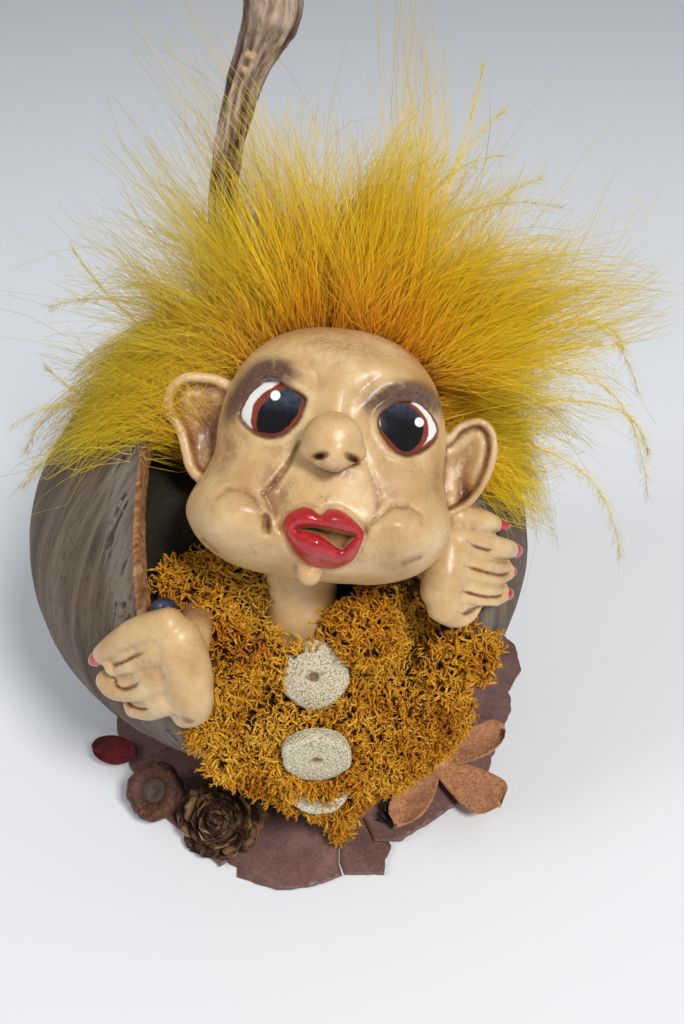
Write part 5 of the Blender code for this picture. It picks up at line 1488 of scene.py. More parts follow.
    points -= normal * ((MOSS_SINK + 0.5 * noise(points, 3 * MM, 51, 2)) * MM)[:, None]
    for hole in holes[:-1]:
        local = (points @ hole[:3, :3].T + hole[:3, 3]) / MM
        across = np.hypot(local[:, 0], local[:, 1])
        covers = (across < BUTTON_RADIUS + 0.4) & (np.abs(local[:, 2]) < BUTTON_REACH)
        sink = np.where(covers, np.maximum(local[:, 2] + BUTTON_THICKNESS / 2 + 0.4, 0), 0)
        points -= (sink * MM)[:, None] * hole[2, :3]
    set_points(bed, points)
    # The bed takes the dark depth colour all over: painted shade under the sprigs
    store(bed, height=np.zeros(len(points)), tone=noise(points, 4 * MM, 53, 2) * 0.4 + 0.3)
    piece("moss_bed", bed, finish, MOSS_NODES)


def moss_finish():
    """Dyed moss: ochre tips, and dark brown at the sprigs' feet and on the bed as painted shade in the moss's
    depths.
    """
    f = Finish("moss", specular_ior_level=0.2)
    height, tone = f.read("height"), f.read("tone")
    tip = f.ramp(tone, (0.1, (164, 92, 8)), (0.45, (200, 136, 18)), (0.8, (220, 172, 58)))
    deep = f.ramp(tone, (0.2, (40, 18, 4)), (0.8, (90, 44, 6)))
    colour = f.blend(f.span(height, 0.05, 0.75), deep, tip)
    fine = f.cloud(0.25 * MM, 3, 0.6)
    colour = f.blend(f.span(fine, 0.5, 0.8, 0.0, 0.3), colour, (240, 208, 130))
    return f.dress(colour, f.span(fine, 0.2, 0.8, 0.7, 0.9), f.relief(fine, 0.06 * MM, 0.6))


# Pod


OPENING_YAW = math.radians(10.0)
OPENING_TILT = math.radians(22.0)
OPENING_HALF = (35.8, 60.0)
OPENING_SQUARENESS = 2.8
RIM_DEPTH = 43.5


def opening_frame():
    """The pod opening's own axes, across, up and out, and its middle."""
    out = np.array((math.sin(OPENING_YAW) * math.cos(OPENING_TILT),
                    -math.cos(OPENING_YAW) * math.cos(OPENING_TILT), math.sin(OPENING_TILT)))
    across = np.array((math.cos(OPENING_YAW), math.sin(OPENING_YAW), 0.0))
    up = np.cross(out, across)
    middle = POD_CENTRE + across * 2.0 * MM + up * 10.0 * MM
    return across, up, out, middle


def opening_spread(level):
    """How much wider the opening is at a share of the rim's depth, in millimetres."""
    return (level - 1.0) * RIM_DEPTH * 0.9 * np.where(level > 1, 0.55, 0.32)


def opening_share(points):
    """1 on the opening's cut face, less inside it and more outside, at each point."""
    across, up, out, middle = opening_frame()
    local = (points - middle) / MM
    u, v, level = local @ across, local @ up, local @ out / RIM_DEPTH
    spread = opening_spread(level)
    wide, high = np.maximum(OPENING_HALF[0] + spread, 4), np.maximum(OPENING_HALF[1] + spread, 4)
    total = (np.abs(u) / wide) ** OPENING_SQUARENESS + (np.abs(v) / high) ** OPENING_SQUARENESS
    return total ** (1 / OPENING_SQUARENESS), level


def make_pod():
    across, up, out, middle = opening_frame()
    bm = bmesh.new()
    ball(bm, POD_CENTRE, POD_HALF, 6)
    inner = ball(bm, POD_CENTRE, POD_HALF - POD_WALL, 6)
    faces = list({face for vert in inner for face in vert.link_faces})
    bmesh.ops.reverse_faces(bm, faces=faces)
    funnel = bmesh.new()
    loops, steps = [], 120
    for level in (-0.25, 0.2, 0.6, 1.0, 1.5, 2.4):
        spread = float(opening_spread(np.array(level)))
        loop = []
        for k in range(steps):
            c, s = math.cos(2 * math.pi * k / steps), math.sin(2 * math.pi * k / steps)
            u = math.copysign(abs(c) ** (2 / OPENING_SQUARENESS), c) * (OPENING_HALF[0] + spread)
            v = math.copysign(abs(s) ** (2 / OPENING_SQUARENESS), s) * (OPENING_HALF[1] + spread)
            loop.append(funnel.verts.new(middle + (across * u + up * v + out * RIM_DEPTH * level) * MM))
        loops.append(loop)
    for low, high in zip(loops, loops[1:]):
        for k in range(steps):
            n = (k + 1) % steps
            funnel.faces.new((low[k], low[n], high[n], high[k]))
    funnel.faces.new(loops[0])
    funnel.faces.new(loops[-1])
    bmesh.ops.recalc_face_normals(funnel, faces=funnel.faces[:])
    mesh = fused(bm, POD_VOXEL, funnel)

    points = relaxed(points_of(mesh), edges_of(mesh), 3)
    set_points(mesh, points)
    share, level = opening_share(points)
    local = points - POD_CENTRE
    azimuth = np.arctan2(local[:, 1], local[:, 0])
    height = np.arcsin(np.clip(local[:, 2] / POD_HALF[2], -1, 1))
    grain = np.column_stack((0.06 * np.cos(azimuth), 0.06 * np.sin(azimuth), 0.06 * height))
    streak = grain * (1, 1, 0.09)
    outer = ease(np.linalg.norm(local / POD_HALF, axis=1), 0.93, 0.965)
    in_front = ease(level, -0.1, 0.15)
    near = peak(share - 1.14, 0.12) * in_front
    ridge = np.abs(noise(streak, 2.2 * MM, 61, 2))
    cracked = ease(noise(streak * (1, 1, 2), 7 * MM, 63) + near, 0.1, 0.7)
    crack = peak(ridge, 0.07) * (0.25 + 0.75 * near) * cracked
    lift = noise(streak, 1.6 * MM, 65, 2) * 0.16 + noise(streak, 6 * MM, 67, 2) * 0.35 - crack * 0.75
    cut_face = ease(1.10 - share, 0.0, 0.05) * (1 - outer) + ease(1.035 - share, 0.0, 0.03)
    cut_face = np.clip(cut_face, 0, 1) * in_front
    rough = noise(grain * (1, 1, 0.4), 1.8 * MM, 71, 3) * 0.55
    lift = lift * outer * (1 - cut_face) + rough * np.maximum(cut_face, 0.3 * (1 - outer))
    set_points(mesh, points + normals_of(mesh) * (lift * MM)[:, None])
    store(mesh, grain=grain, rim=cut_face, crack=crack * outer, inner=(1 - outer) * (1 - cut_face),
          near_rim=near * outer)
    piece("pod_shell", mesh, pod_finish(), ("seed_pod",))


def pod_finish():
    """Grey weathered shell with lengthwise grain, cork at the cut rim and painted shade over its inside."""
    f = Finish("pod_wood", specular_ior_level=0.25)
    long_grain = f.place((1, 1, 0.07), "grain")
    short_grain = f.place((1, 1, 0.3), "grain")
    fibre = f.cloud(0.55 * MM, 5, 0.65, long_grain)
    band = f.cloud(5 * MM, 4, 0.6, long_grain)
    patch = f.cloud(16 * MM, 3, 0.5)
    grey = f.ramp(band, (0.32, (70, 58, 46)), (0.50, (102, 88, 74)), (0.70, (134, 118, 101)))
    grey = f.blend(f.span(patch, 0.4, 0.7, 0.0, 0.5), grey, (116, 96, 76))
    grey = f.blend(f.span(fibre, 0.35, 0.7, 0.35, 0.0), grey, (60, 50, 46))
    grey = f.blend(f.span(f.read("near_rim"), 0.1, 1.0, 0.0, 0.35), grey, (150, 138, 128))
    crack = f.span(f.read("crack"), 0.15, 0.8)
    hair_line = f.calculate("ABSOLUTE", f.calculate("SUBTRACT", f.cloud(1.3 * MM, 4, 0.6, long_grain), 0.5))
    grey = f.blend(f.span(hair_line, 0.022, 0.0, 0.0, 0.7), grey, (40, 32, 30))
    grey = f.blend(f.calculate("MULTIPLY", crack, 0.75), grey, (34, 26, 20))
    cork = f.ramp(f.cloud(0.9 * MM, 5, 0.7, short_grain), (0.28, (66, 42, 28)), (0.48, (138, 96, 62)),
                  (0.70, (184, 140, 98)))
    colour = f.blend(f.span(f.read("rim"), 0.2, 0.8), grey, cork)
    # Painted shade: the inside of the shell is near black brown
    colour = f.blend(f.span(f.read("inner"), 0.3, 0.9), colour, (36, 25, 18))
    bump = f.relief(fibre, 0.25 * MM, 0.6)
    bump = f.relief(f.cloud(0.35 * MM, 3, 0.6, short_grain), 0.12 * MM, 0.5, bump)
    return f.dress(colour, f.span(fibre, 0.2, 0.8, 0.62, 0.85), bump)


# Branch


# Spots along the branch and its radius at each, in millimetres
BRANCH = ((-11.0, 9.0, 78.0, 2.6), (-11.5, 10.5, 100.0, 2.9), (-12.5, 13.0, 120.0, 3.0),
          (-13.0, 17.5, 136.0, 3.1), (-12.0, 21.5, 149.0, 3.2), (-9.5, 24.5, 160.0, 3.3),
          (-6.0, 26.0, 171.0, 3.6), (-1.5, 27.0, 180.0, 4.6), (1.5, 27.0, 187.0, 6.0),
          (1.0, 28.0, 194.0, 4.6), (-1.0, 29.0, 202.0, 3.6))
BRANCH_TOP = 202.5 * MM
# Knots and pale scars: millimetres along the branch, angle round it (pi / 2 is the front), size, height
BRANCH_KNOTS = ((113, 1.7, 3.4, 1.3), (108, 2.7, 2.6, 1.1), (100.5, 1.2, 2.2, 0.7), (86, 2.0, 1.8, 0.6),
                (94, 2.5, 1.6, 0.5))
BARK_RADIUS = 3.6
BRANCH_SCARS = ((103, 1.25, 1.3), (99.2, 1.4, 1.1), (91, 0.6, 0.8), (72, 1.9, 0.9))


def make_branch():
    path = smooth_line(BRANCH, 30) * MM
    path[-1, 2] = min(path[-1, 2], BRANCH_TOP)
    rings, sides = len(path), 96
    centre, radius = path[:, :3], path[:, 3]
    tangent = unit(np.gradient(centre, axis=0))
    angle = angles_round(sides)
    ring = ring_of(*square_to(tangent, (0, 1, 0)), angle)
    run = np.concatenate(([0], np.cumsum(np.linalg.norm(np.diff(centre, axis=0), axis=1))))
    twist = angle + 9 * run[:, None]
    grain = np.broadcast_arrays(3.4 * MM * np.cos(twist), 3.4 * MM * np.sin(twist), run[:, None])
    grain = np.stack(grain, -1).reshape(-1, 3)
    groove = noise(grain * (1, 1, 0.13), 1.1 * MM, 81, 3).reshape(rings, sides)
    ridge = noise(grain * (1, 1, 0.2), 0.55 * MM, 85, 2).reshape(rings, sides)
    lump = noise(grain * (1, 1, 0.5), 3.5 * MM, 83, 2).reshape(rings, sides)
    knots = np.zeros((rings, sides))

    def gap_from(level, turn):
        off = np.angle(np.exp(1j * (angle[None] - turn))) * BARK_RADIUS
        return np.hypot((run[:, None] / MM - level), off)

    for level, turn, width, height in BRANCH_KNOTS:
        gap = gap_from(level, turn)
        knots += height * peak(gap, width) - 0.8 * height * peak(gap, 0.4 * width)
    size = radius[:, None] + (0.62 * groove + 0.22 * ridge + 0.5 * lump + knots) * MM
    points = (centre[:, None] + ring * size[..., None]).reshape(-1, 3)
    numbers = ring_numbers(rings + 1, sides)
    top = centre[-1] + np.array((0, 0, 0.3 * MM))
    broken = points[-sides:] * 1.0
    cap = top + (broken - top) * 0.55
    cap[:, 2] += noise(cap, 1.2 * MM, 87, 2) * 0.9 * MM
    mesh = mesh_from("twig", np.concatenate((points, cap, [top])), walls_of(numbers, True),
                     fan_of(numbers[-1], numbers.size), numbers[:1, ::-1])
    extra = np.zeros(sides + 1)
    grain = np.concatenate((grain, cap, [top]))
    scar = np.zeros(rings * sides)
    for level, turn, width in BRANCH_SCARS:
        scar += peak(gap_from(level, turn), width).ravel()
    scar = scar * (0.75 + 0.9 * noise(grain[:len(scar)], 0.9 * MM, 89, 2))
    store(mesh, grain=grain, groove=np.concatenate((groove.ravel(), extra + 0.5)),
          scar=np.concatenate((scar, extra + 0.9)))
    f = Finish("bark", specular_ior_level=0.25)
    fine = f.cloud(0.5 * MM, 5, 0.65, f.place((1, 1, 0.18), "grain"))
    # Dark in the grooves and pale on the ridges: partly the bark's own colour and partly painted shade and
    # highlight
    colour = f.ramp(f.span(f.read("groove"), -0.55, 0.55), (0.0, (66, 52, 44)), (0.45, (134, 112, 94)),
                    (1.0, (186, 164, 142)))
    colour = f.blend(f.span(fine, 0.55, 0.35, 0.0, 0.5), colour, (52, 40, 34))
    colour = f.blend(f.span(f.read("scar"), 0.3, 0.75), colour, (190, 158, 118))
    bump = f.relief(fine, 0.3 * MM, 0.8)
    finish = f.dress(colour, f.span(fine, 0.2, 0.8, 0.6, 0.85), bump)
    piece("branch_bark", mesh, finish, ("branch",))


# Buttons, bead and the finds round the foot


def make_buttons():
    f = Finish("sand", specular_ior_level=0.3)
    grains = f.cells(0.42 * MM)
    speck = f.cells(0.6 * MM)
    colour = f.ramp(grains, (0.1, (228, 222, 202)), (0.45, (204, 194, 166)), (0.85, (150, 134, 104)))
    colour = f.blend(f.span(f.cloud(0.5 * MM, 4, 0.7), 0.55, 0.72, 0.0, 0.8), colour, (110, 92, 64))
    colour = f.blend(f.span(f.read("stain"), 0.2, 0.9, 0.0, 0.85), colour, (104, 78, 50))
    bump = f.relief(grains, -0.25 * MM, 0.8)
    finish = f.dress(colour, f.span(speck, 0.1, 0.8, 0.6, 0.9), bump)
    for seed, (name, place_in_moss) in enumerate(BUTTONS.items(), 91):
        half, edge = BUTTON_THICKNESS / 2, BUTTON_RADIUS
        profile = smooth_line([(0.0, half - 0.75), (0.08 * edge, half - 0.65), (0.17 * edge, half - 0.1),
                               (0.30 * edge, half + 0.05), (0.72 * edge, half), (0.90 * edge, half - 0.2),
                               (0.99 * edge, half - 0.8), (edge, 0.0), (0.97 * edge, -half + 0.7),
                               (0.88 * edge, -half), (0.0, -half)], 9)
        angle = angles_round(BUTTON_SIDES)
        radius, level = profile[1:-1, 0, None], profile[1:-1, 1, None]
        points = np.broadcast_arrays(radius * np.cos(angle), radius * np.sin(angle), level)
        points = np.stack(points, -1).reshape(-1, 3)
        points = np.concatenate((points, [(0, 0, profile[0, 1])], [(0, 0, profile[-1, 1])]))
        rim = ease(np.hypot(points[:, 0], points[:, 1]), 0.6 * edge, edge)
        across = points[:, :2] * 1.0
        wobble = noise(np.column_stack((unit(across + 1e-9) * 2.2, points[:, 2] * 0)), 1.1, seed, 2)
        points[:, :2] *= (1 + 0.06 * wobble * rim - 0.03 * rim)[:, None]
        out = np.column_stack((points[:, :2] / edge * rim[:, None], np.sign(points[:, 2]) * (1.2 - rim)))
        grit = noise(points, 0.55, seed + 7, 2) * 0.16 + noise(points, 3.0, seed + 9) * 0.15
        points += unit(out) * grit[:, None]
        mesh = turned_mesh("button", points * MM, len(radius))
        middle_gap = np.hypot(points[:, 0] * 0.7, points[:, 1]) + 0.5 * noise(points, 1.5, seed + 5)
        stain = peak(middle_gap, 1.3) + 0.4 * rim * ease(noise(points, 2.5, seed + 3), 0.2, 0.5)
        store(mesh, stain=stain)
        piece(name + "_disc", mesh, finish, (name,), button_matrix(*place_in_moss))


def make_berry():
    middle = Vector(sum(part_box("berry"), Vector()) / 2)
    bm = bmesh.new()
    ball(bm, (0, 0, 0), (3.0 * MM, 2.9 * MM, 2.8 * MM), 5)
    mesh = mesh_of("berry", bm)
    mesh.shade_smooth()
    points = points_of(mesh)
    dents = noise(points, 1.6 * MM, 97, 3)
    points *= (1 + 0.05 * dents)[:, None]
    from_dimple = points[:, 0] ** 2 + (points[:, 1] + 1.2 * MM) ** 2
    points[:, 2] -= 0.5 * MM * np.exp(-from_dimple / (0.8 * MM) ** 2) * (points[:, 2] > 0)
    set_points(mesh, points)
    f = Finish("berry", coat_weight=0.35, coat_roughness=0.25)
    cloud = f.cloud(1.2 * MM, 4, 0.6)
    colour = f.ramp(cloud, (0.3, (20, 24, 38)), (0.6, (40, 52, 76)), (0.8, (78, 92, 116)))
    finish = f.dress(colour, f.span(cloud, 0.3, 0.7, 0.3, 0.6), f.relief(cloud, 0.12 * MM, 0.5))
    piece("berry_skin", mesh, finish, ("berry",), Matrix.Translation(middle))


# The leaves' layer and rim: each rim point's azimuth in degrees and share of the leaf radius
LEAF_RADIUS = 61.0
LEAVES = {
    "leaf_front": (0.0, ((-113, 0.93), (-108, 0.94), (-107, 0.985), (-97, 1.02), (-88, 1.0), (-80.5, 0.965),
                         (-71, 1.01), (-69, 0.945), (-66, 0.9))),
    "leaf_right": (0.0, ((-14, 0.955), (-6, 1.0), (1, 1.0), (8, 1.09), (17, 1.12), (28, 1.08), (42, 0.93))),
    "leaf_back_left": (0.0, ((92, 0.9), (110, 1.0), (128, 1.02), (146, 0.98), (160, 0.88))),
    "leaf_front_right": (1.0, ((-70, 0.86), (-63, 0.905), (-58, 0.9), (-52, 0.905), (-44, 0.92), (-32, 0.96),
                               (-20, 0.95), (-10, 0.87))),
    "leaf_left": (1.0, ((-203, 0.86), (-188, 0.95), (-170, 0.93), (-152, 0.9), (-133, 0.9), (-121, 0.92),
                        (-112, 0.975), (-109, 0.9))),
    "leaf_back": (1.0, ((36, 0.84), (52, 0.97), (70, 1.03), (90, 0.98), (106, 0.86))),
}
LEAF_TOP = 1.7
LEAF_GRID = 1.1
# The front leaf's tear: how deep its edges go from the rim, and how far aside
LEAF_TEAR = ((0.0, -0.45), (3.5, -0.7), (7.5, 0.2), (11.0, -0.5), (7.2, 0.7), (3.4, -0.1), (0.0, 0.45))


def round_hub(degrees, radius):
    angle = math.radians(degrees)
    return np.array((radius * math.cos(angle), radius * math.sin(angle)))


def leaf_border(name, rim, seed):
    """A leaf's outline in millimetres: narrow at the hub, wavy at the rim, torn at the front."""
    first, last = rim[0][0], rim[-1][0]
    middle = (first + last) / 2
    outer = [round_hub(angle, share * LEAF_RADIUS) for angle, share in rim]
    if name == "leaf_front":
        tear, run = outer[5], unit(outer[5])
        side = np.array((-run[1], run[0]))
        outer[5:6] = [tear - deep * run + aside * side for deep, aside in LEAF_TEAR]
    sides = []
    for edge in (last, first):
        lean = middle + (edge - middle) * 0.55
        sides.append([round_hub(lean, 9.0), round_hub(middle + (edge - middle) * 0.96, LEAF_RADIUS * 0.5)])
    hub = [round_hub(middle + 180, 7.0)] if name == "leaf_front" else []
    corners = outer + [sides[0][1], sides[0][0]] + hub + [sides[1][0], sides[1][1]]
    border = []
    for start, end in zip(corners, corners[1:] + corners[:1]):
        count = max(1, int(np.linalg.norm(end - start) / 0.7))
        border += [start + (end - start) * k / count for k in range(count)]
    border = np.array(border)
    spots = np.column_stack((border, np.zeros(len(border))))
    outside = ease(np.linalg.norm(border, axis=1), 25, 50)
    push = noise(spots, 6.0, seed, 2) * 0.55 + noise(spots, 1.6, seed + 1) * 0.3
    if name == "leaf_front":
        push *= ease(np.linalg.norm(border - tear * 0.93, axis=1), 4, 9)
    return border + unit(border) * (push * outside)[:, None], middle


def make_leaves():
    finish = leaf_finish()
    for seed, (name, (layer, rim)) in enumerate(LEAVES.items(), 61):
        border, middle = leaf_border(name, rim, seed)
        rng = np.random.default_rng(seed)
        low, high = border.min(axis=0), border.max(axis=0)
        x, y = np.meshgrid(*[np.arange(start, end, LEAF_GRID) for start, end in zip(low, high)])
        x, y = x.ravel(), y.ravel()
        x, y = x + rng.uniform(-0.3, 0.3, len(x)), y + rng.uniform(-0.3, 0.3, len(y))
        loop = [tuple(point) for point in border]
        within = outline_depth(x, y, loop) < -0.45
        spots = np.concatenate((border, np.column_stack((x, y))[within]))
        rim_edges = [(k, (k + 1) % len(border)) for k in range(len(border))]
        spots = [Vector(spot) for spot in spots]
        flat, _, faces, _, _, _ = geometry.delaunay_2d_cdt(spots, rim_edges, [], 1, 1e-6)
        flat = np.array([tuple(point) for point in flat])
        faces = np.array([face for face in faces if len(face) == 3])
        used = np.bincount(faces.ravel(), minlength=len(flat)) > 0
        renumber = np.cumsum(used) - 1
        flat, faces = flat[used], renumber[faces]
        count = len(flat)
        a, b, c = flat[faces[:, 0]], flat[faces[:, 1]], flat[faces[:, 2]]
        turned = (b - a)[:, 0] * (c - a)[:, 1] - (b - a)[:, 1] * (c - a)[:, 0] < 0
        faces[turned] = faces[turned][:, ::-1]
        run = round_hub(middle, 1.0)
        along, across = flat @ run, flat @ np.array((-run[1], run[0]))
        wave = noise(np.column_stack((flat, np.zeros(count))), 16.0, seed + 4, 2)
        edge = ease(np.linalg.norm(flat, axis=1), 44, 62)
        vein = vein_height(along, across)
        top = layer + 0.66 - 0.10 * vein + 0.10 * wave
        top = top + (0.55 * np.clip(wave, 0, 1) + 0.15) * edge * (layer < 0.5)
        top = np.where(layer > 0.5, layer + 0.66 - 0.08 * vein + edge * 0.5 * np.abs(wave), top)
        bottom = np.maximum(top - 0.5, 0.02 + layer)
        sheet = np.concatenate((np.column_stack((flat, top)), np.column_stack((flat, bottom))))
        pairs = np.sort(np.concatenate((faces[:, :2], faces[:, 1:], faces[:, ::2])), axis=1)
        directed = np.concatenate((faces[:, :2], faces[:, 1:], faces[:, 2::-2]))
        _, back, times = np.unique(pairs, axis=0, return_inverse=True, return_counts=True)
        open_edges = directed[times[back.ravel()] == 1]
        walls = np.column_stack((open_edges[:, ::-1], open_edges + count))
        mesh = mesh_from(name, sheet * MM, faces, faces[:, ::-1] + count, walls)
        at_rim = ease(-outline_depth(flat[:, 0], flat[:, 1], loop), 2.5, 0.0)
        store(mesh, vein=np.concatenate((vein, vein * 0.5)), rim=np.tile(at_rim, 2))
        piece(name + "_blade", mesh, finish, (name,))


def vein_height(along, across):
    """1 on a leaf's midrib and side veins and 0 between them."""
    midrib = peak(across, 0.45)
    slant = (along - 0.9 * np.abs(across)) / 8.5
    side = np.abs(slant - np.round(slant)) * 8.5
    return np.maximum(midrib, 0.7 * peak(side, 0.35))


def leaf_finish():
    """Dried leaf: leathery mauve brown with a fine net of veins."""
    f = Finish("leaf", specular_ior_level=0.5)
    wide, fine = f.cloud(14 * MM, 4, 0.6), f.cloud(1.2 * MM, 5, 0.65)
    net = f.cells(1.3 * MM, "DISTANCE_TO_EDGE")
    colour = f.ramp(wide, (0.3, (92, 64, 60)), (0.5, (116, 84, 80)), (0.72, (138, 106, 98)))
    colour = f.blend(f.span(fine, 0.35, 0.7, 0.0, 0.4), colour, (84, 56, 50))
    colour = f.blend(f.span(net, 0.10, 0.0, 0.0, 0.3), colour, (150, 122, 112))
    colour = f.blend(f.span(f.read("vein"), 0.2, 1.0, 0.0, 0.6), colour, (86, 56, 50))
    colour = f.blend(f.span(f.read("rim"), 0.4, 1.0, 0.0, 0.5), colour, (96, 62, 44))
    bump = f.relief(net, 0.12 * MM, 0.6, f.relief(fine, 0.2 * MM, 0.6))
    return f.dress(colour, f.span(fine, 0.3, 0.7, 0.42, 0.62), bump)


def blade(bm, foot, run, out, length, width, thickness, cup, tip, curl, steps=9, sides=9):
    """A cupped scale or leaf: it starts at the foot, runs along, and its hollow side faces out."""
    run, out = unit(np.array(run, float)), np.array(out, float)
    side = unit(np.cross(out, run))
    out = np.cross(run, side)
    shares = np.linspace(0, 1, steps)
    spans = np.linspace(-1, 1, sides)
    rows = []
    for share in shares:
        half = width / 2 * (0.45 + 0.75 * math.sin(math.pi * min(share, tip) / tip / 2)) / 1.2
        if share > tip:
            half *= math.sqrt(max(1 - ((share - tip) / (1 - tip)) ** 2, 0.01))
        lift = curl * length * share ** 2
        middle = foot + run * share * length
        rows.append([middle + side * half * span + out * (lift + cup * width * (span ** 2) * share)
                     for span in spans])
    front = np.array(rows).reshape(-1, 3)
    thin = thickness * np.tile(0.35 + 0.65 * np.sqrt(np.maximum(1 - spans ** 2, 0)), steps)
    thin *= np.repeat(1 - 0.5 * shares ** 3, sides)
    back = front - out * thin[:, None]
    verts = [bm.verts.new(point) for point in np.concatenate((front, back))]
    count = steps * sides
    for row in range(steps - 1):
        for column in range(sides - 1):
            k = row * sides + column
            corners = (k, k + 1, k + 1 + sides, k + sides)
            bm.faces.new([verts[corner] for corner in corners])
            bm.faces.new([verts[corner + count] for corner in reversed(corners)])
    around = list(range(sides)) + [row * sides + sides - 1 for row in range(1, steps)]
    around += [count - 1 - k for k in range(1, sides)] + [row * sides for row in range(steps - 2, 0, -1)]
    for start, end in zip(around, around[1:] + around[:1]):
        bm.faces.new((verts[end], verts[start], verts[start + count], verts[end + count]))


def closed_piece(name, bm, finish, stands_for, seed, rough, edge=None):
    """Finish a bmesh of closed shells in millimetres: roughened, kept above the leaves, with its edge shares
    stored.
    """
    bmesh.ops.recalc_face_normals(bm, faces=bm.faces)
    mesh = mesh_of(name, bm)
    mesh.shade_smooth()
    points = points_of(mesh)
    points += normals_of(mesh) * (noise(points, 1.4, seed, 3) * rough)[:, None]
    low = np.minimum(points[:, 2] - LEAF_TOP - 1.6, 0.0)
    points[:, 2] = np.where(low < 0, LEAF_TOP + 1.6 * np.exp(low / 1.6), points[:, 2])
    store(mesh, edge=edge(points) if edge else points[:, 0] * 0)
    set_points(mesh, points * MM)
    piece(name, mesh, finish, stands_for)


def seed_finish(name, dark, middle, light, tan, grain=(1, 1, 1), rough=0.55):
    """Dried husk or scale: fibrous, dark in patches, with its edges in the colour tan."""
    f = Finish(name, specular_ior_level=0.4)
    fibre = f.cloud(0.8 * MM, 5, 0.65, f.place(grain))
    wide = f.cloud(4 * MM, 3, 0.6)
    colour = f.ramp(fibre, (0.3, dark), (0.52, middle), (0.75, light))
    colour = f.blend(f.span(wide, 0.45, 0.7, 0.0, 0.5), colour, dark)
    colour = f.blend(f.span(f.read("edge"), 0.2, 1.0, 0.0, 0.9), colour, tan)
    return f.dress(colour, f.span(fibre, 0.3, 0.7, rough, rough + 0.25), f.relief(fibre, 0.3 * MM, 0.7))


# The cone's foot and tip, and the number of its scales
CONE_FOOT = np.array((-21.6, -42.0, 4.4))
CONE_TIP = np.array((-23.2, -50.4, 14.2))
CONE_SCALES = 46


def make_cone():
    axis = unit(CONE_TIP - CONE_FOOT)
    side, other = square_to(axis, (0, 0, 1))
    bm = bmesh.new()
    ball(bm, (CONE_FOOT + CONE_TIP) / 2 - axis * 1.5, (6.3, 6.3, 5.6), 3)
    rng = np.random.default_rng(71)
    for number in range(CONE_SCALES):
        share = number / (CONE_SCALES - 1)
        azimuth = math.radians(137.5 * number)
        out = side * math.cos(azimuth) + other * math.sin(azimuth)
        lean = math.radians(92 - 86 * share ** 0.85 + rng.uniform(-9, 9))
        run = out * math.sin(lean) + axis * math.cos(lean)
        foot = CONE_FOOT + axis * (0.5 + 8.6 * share) + out * (4.9 * (1 - share) ** 0.7 + 0.3)
        length = 7.4 - 3.2 * share + rng.uniform(-0.9, 0.9)
        width = (8.4 - 4.9 * share) * rng.uniform(0.8, 1.1)
        blade(bm, foot, run, axis * math.sin(lean) - out * math.cos(lean), length, width, 0.7, 0.15, 0.6,
              0.04 + 0.2 * rng.random())

    def edge(points):
        from_axis = points - CONE_FOOT
        height = from_axis @ axis
        radius = np.linalg.norm(from_axis - height[:, None] * axis, axis=1)
        return ease(radius + 0.75 * height, 8.5, 13.0) * ease(noise(points, 2.5, 72, 2), -0.5, 0.6) * 0.9

    finish = seed_finish("cone_scale", (22, 12, 6), (62, 38, 22), (112, 78, 50), (160, 120, 84), rough=0.42)
    closed_piece("cone_scales", bm, finish, ("larch_cone",), 73, 0.22, edge)


CUP_FOOT = np.array((-39.8, -34.8, 5.9))
CUP_AXIS = unit(np.array((-0.18, -0.5, 0.84)))
# The cup's outline from its foot round the lip to the scar: radius and height in millimetres
CUP_PROFILE = ((0, -3.6), (3.4, -3.3), (6.0, -1.4), (7.5, 1.4), (7.7, 3.6), (6.9, 5.1), (5.6, 5.5),
               (4.2, 5.0), (3.3, 4.1), (2.9, 3.4), (2.0, 3.5), (1.2, 3.1), (0, 2.2))
CUP_SIDES = 96


def make_cup():
    """A turned seed cup: a knobbly outside, a rolled lip, a flat floor and a dark scar in it."""
    side = unit(np.cross((1, 0, 0), CUP_AXIS))
    other = np.cross(CUP_AXIS, side)
    profile = smooth_line(CUP_PROFILE, 5)
    ring = ring_of(side, other, angles_round(CUP_SIDES))
    body = CUP_FOOT + profile[1:-1, 0][:, None, None] * ring + profile[1:-1, 1][:, None, None] * CUP_AXIS
    points = np.concatenate((body.reshape(-1, 3), [CUP_FOOT + CUP_AXIS * profile[0, 1]],
                             [CUP_FOOT + CUP_AXIS * profile[-1, 1]]))
    mesh = turned_mesh("seed_cup", points, len(body), True)
    height = (points - CUP_FOOT) @ CUP_AXIS
    radius = np.linalg.norm(points - CUP_FOOT - height[:, None] * CUP_AXIS, axis=1)
    outside = ease(radius, 4.6, 6.5)
    azimuth = np.arctan2((points - CUP_FOOT) @ side, (points - CUP_FOOT) @ other)
    ribs = np.sin(azimuth * 13 + noise(points, 4.0, 75) * 2.0)
    out = normals_of(mesh)
    lumps = noise(points, 3.4, 77, 3)
    push = outside * (0.12 * ribs + 0.7 * lumps) + 0.3 * lumps + 0.12 * noise(points, 1.2, 79, 2)
    points += out * push[:, None]
    points[:, 2] = np.maximum(points[:, 2], LEAF_TOP)
    set_points(mesh, points * MM)
    floor = ease(-radius + 0.6 * lumps, -4.0, -3.0) * (height > 0)
    store(mesh, edge=floor)
    finish = seed_finish("seed_cup", (40, 22, 16), (82, 46, 32), (128, 80, 58), (76, 62, 52), rough=0.45)
    piece("seed_cup_shell", mesh, finish, ("acorn_cup",))


HUSK_HUB = np.array((36.2, -27.4, 5.2))
HUSK_SHEEN = srgb(230, 180, 150)


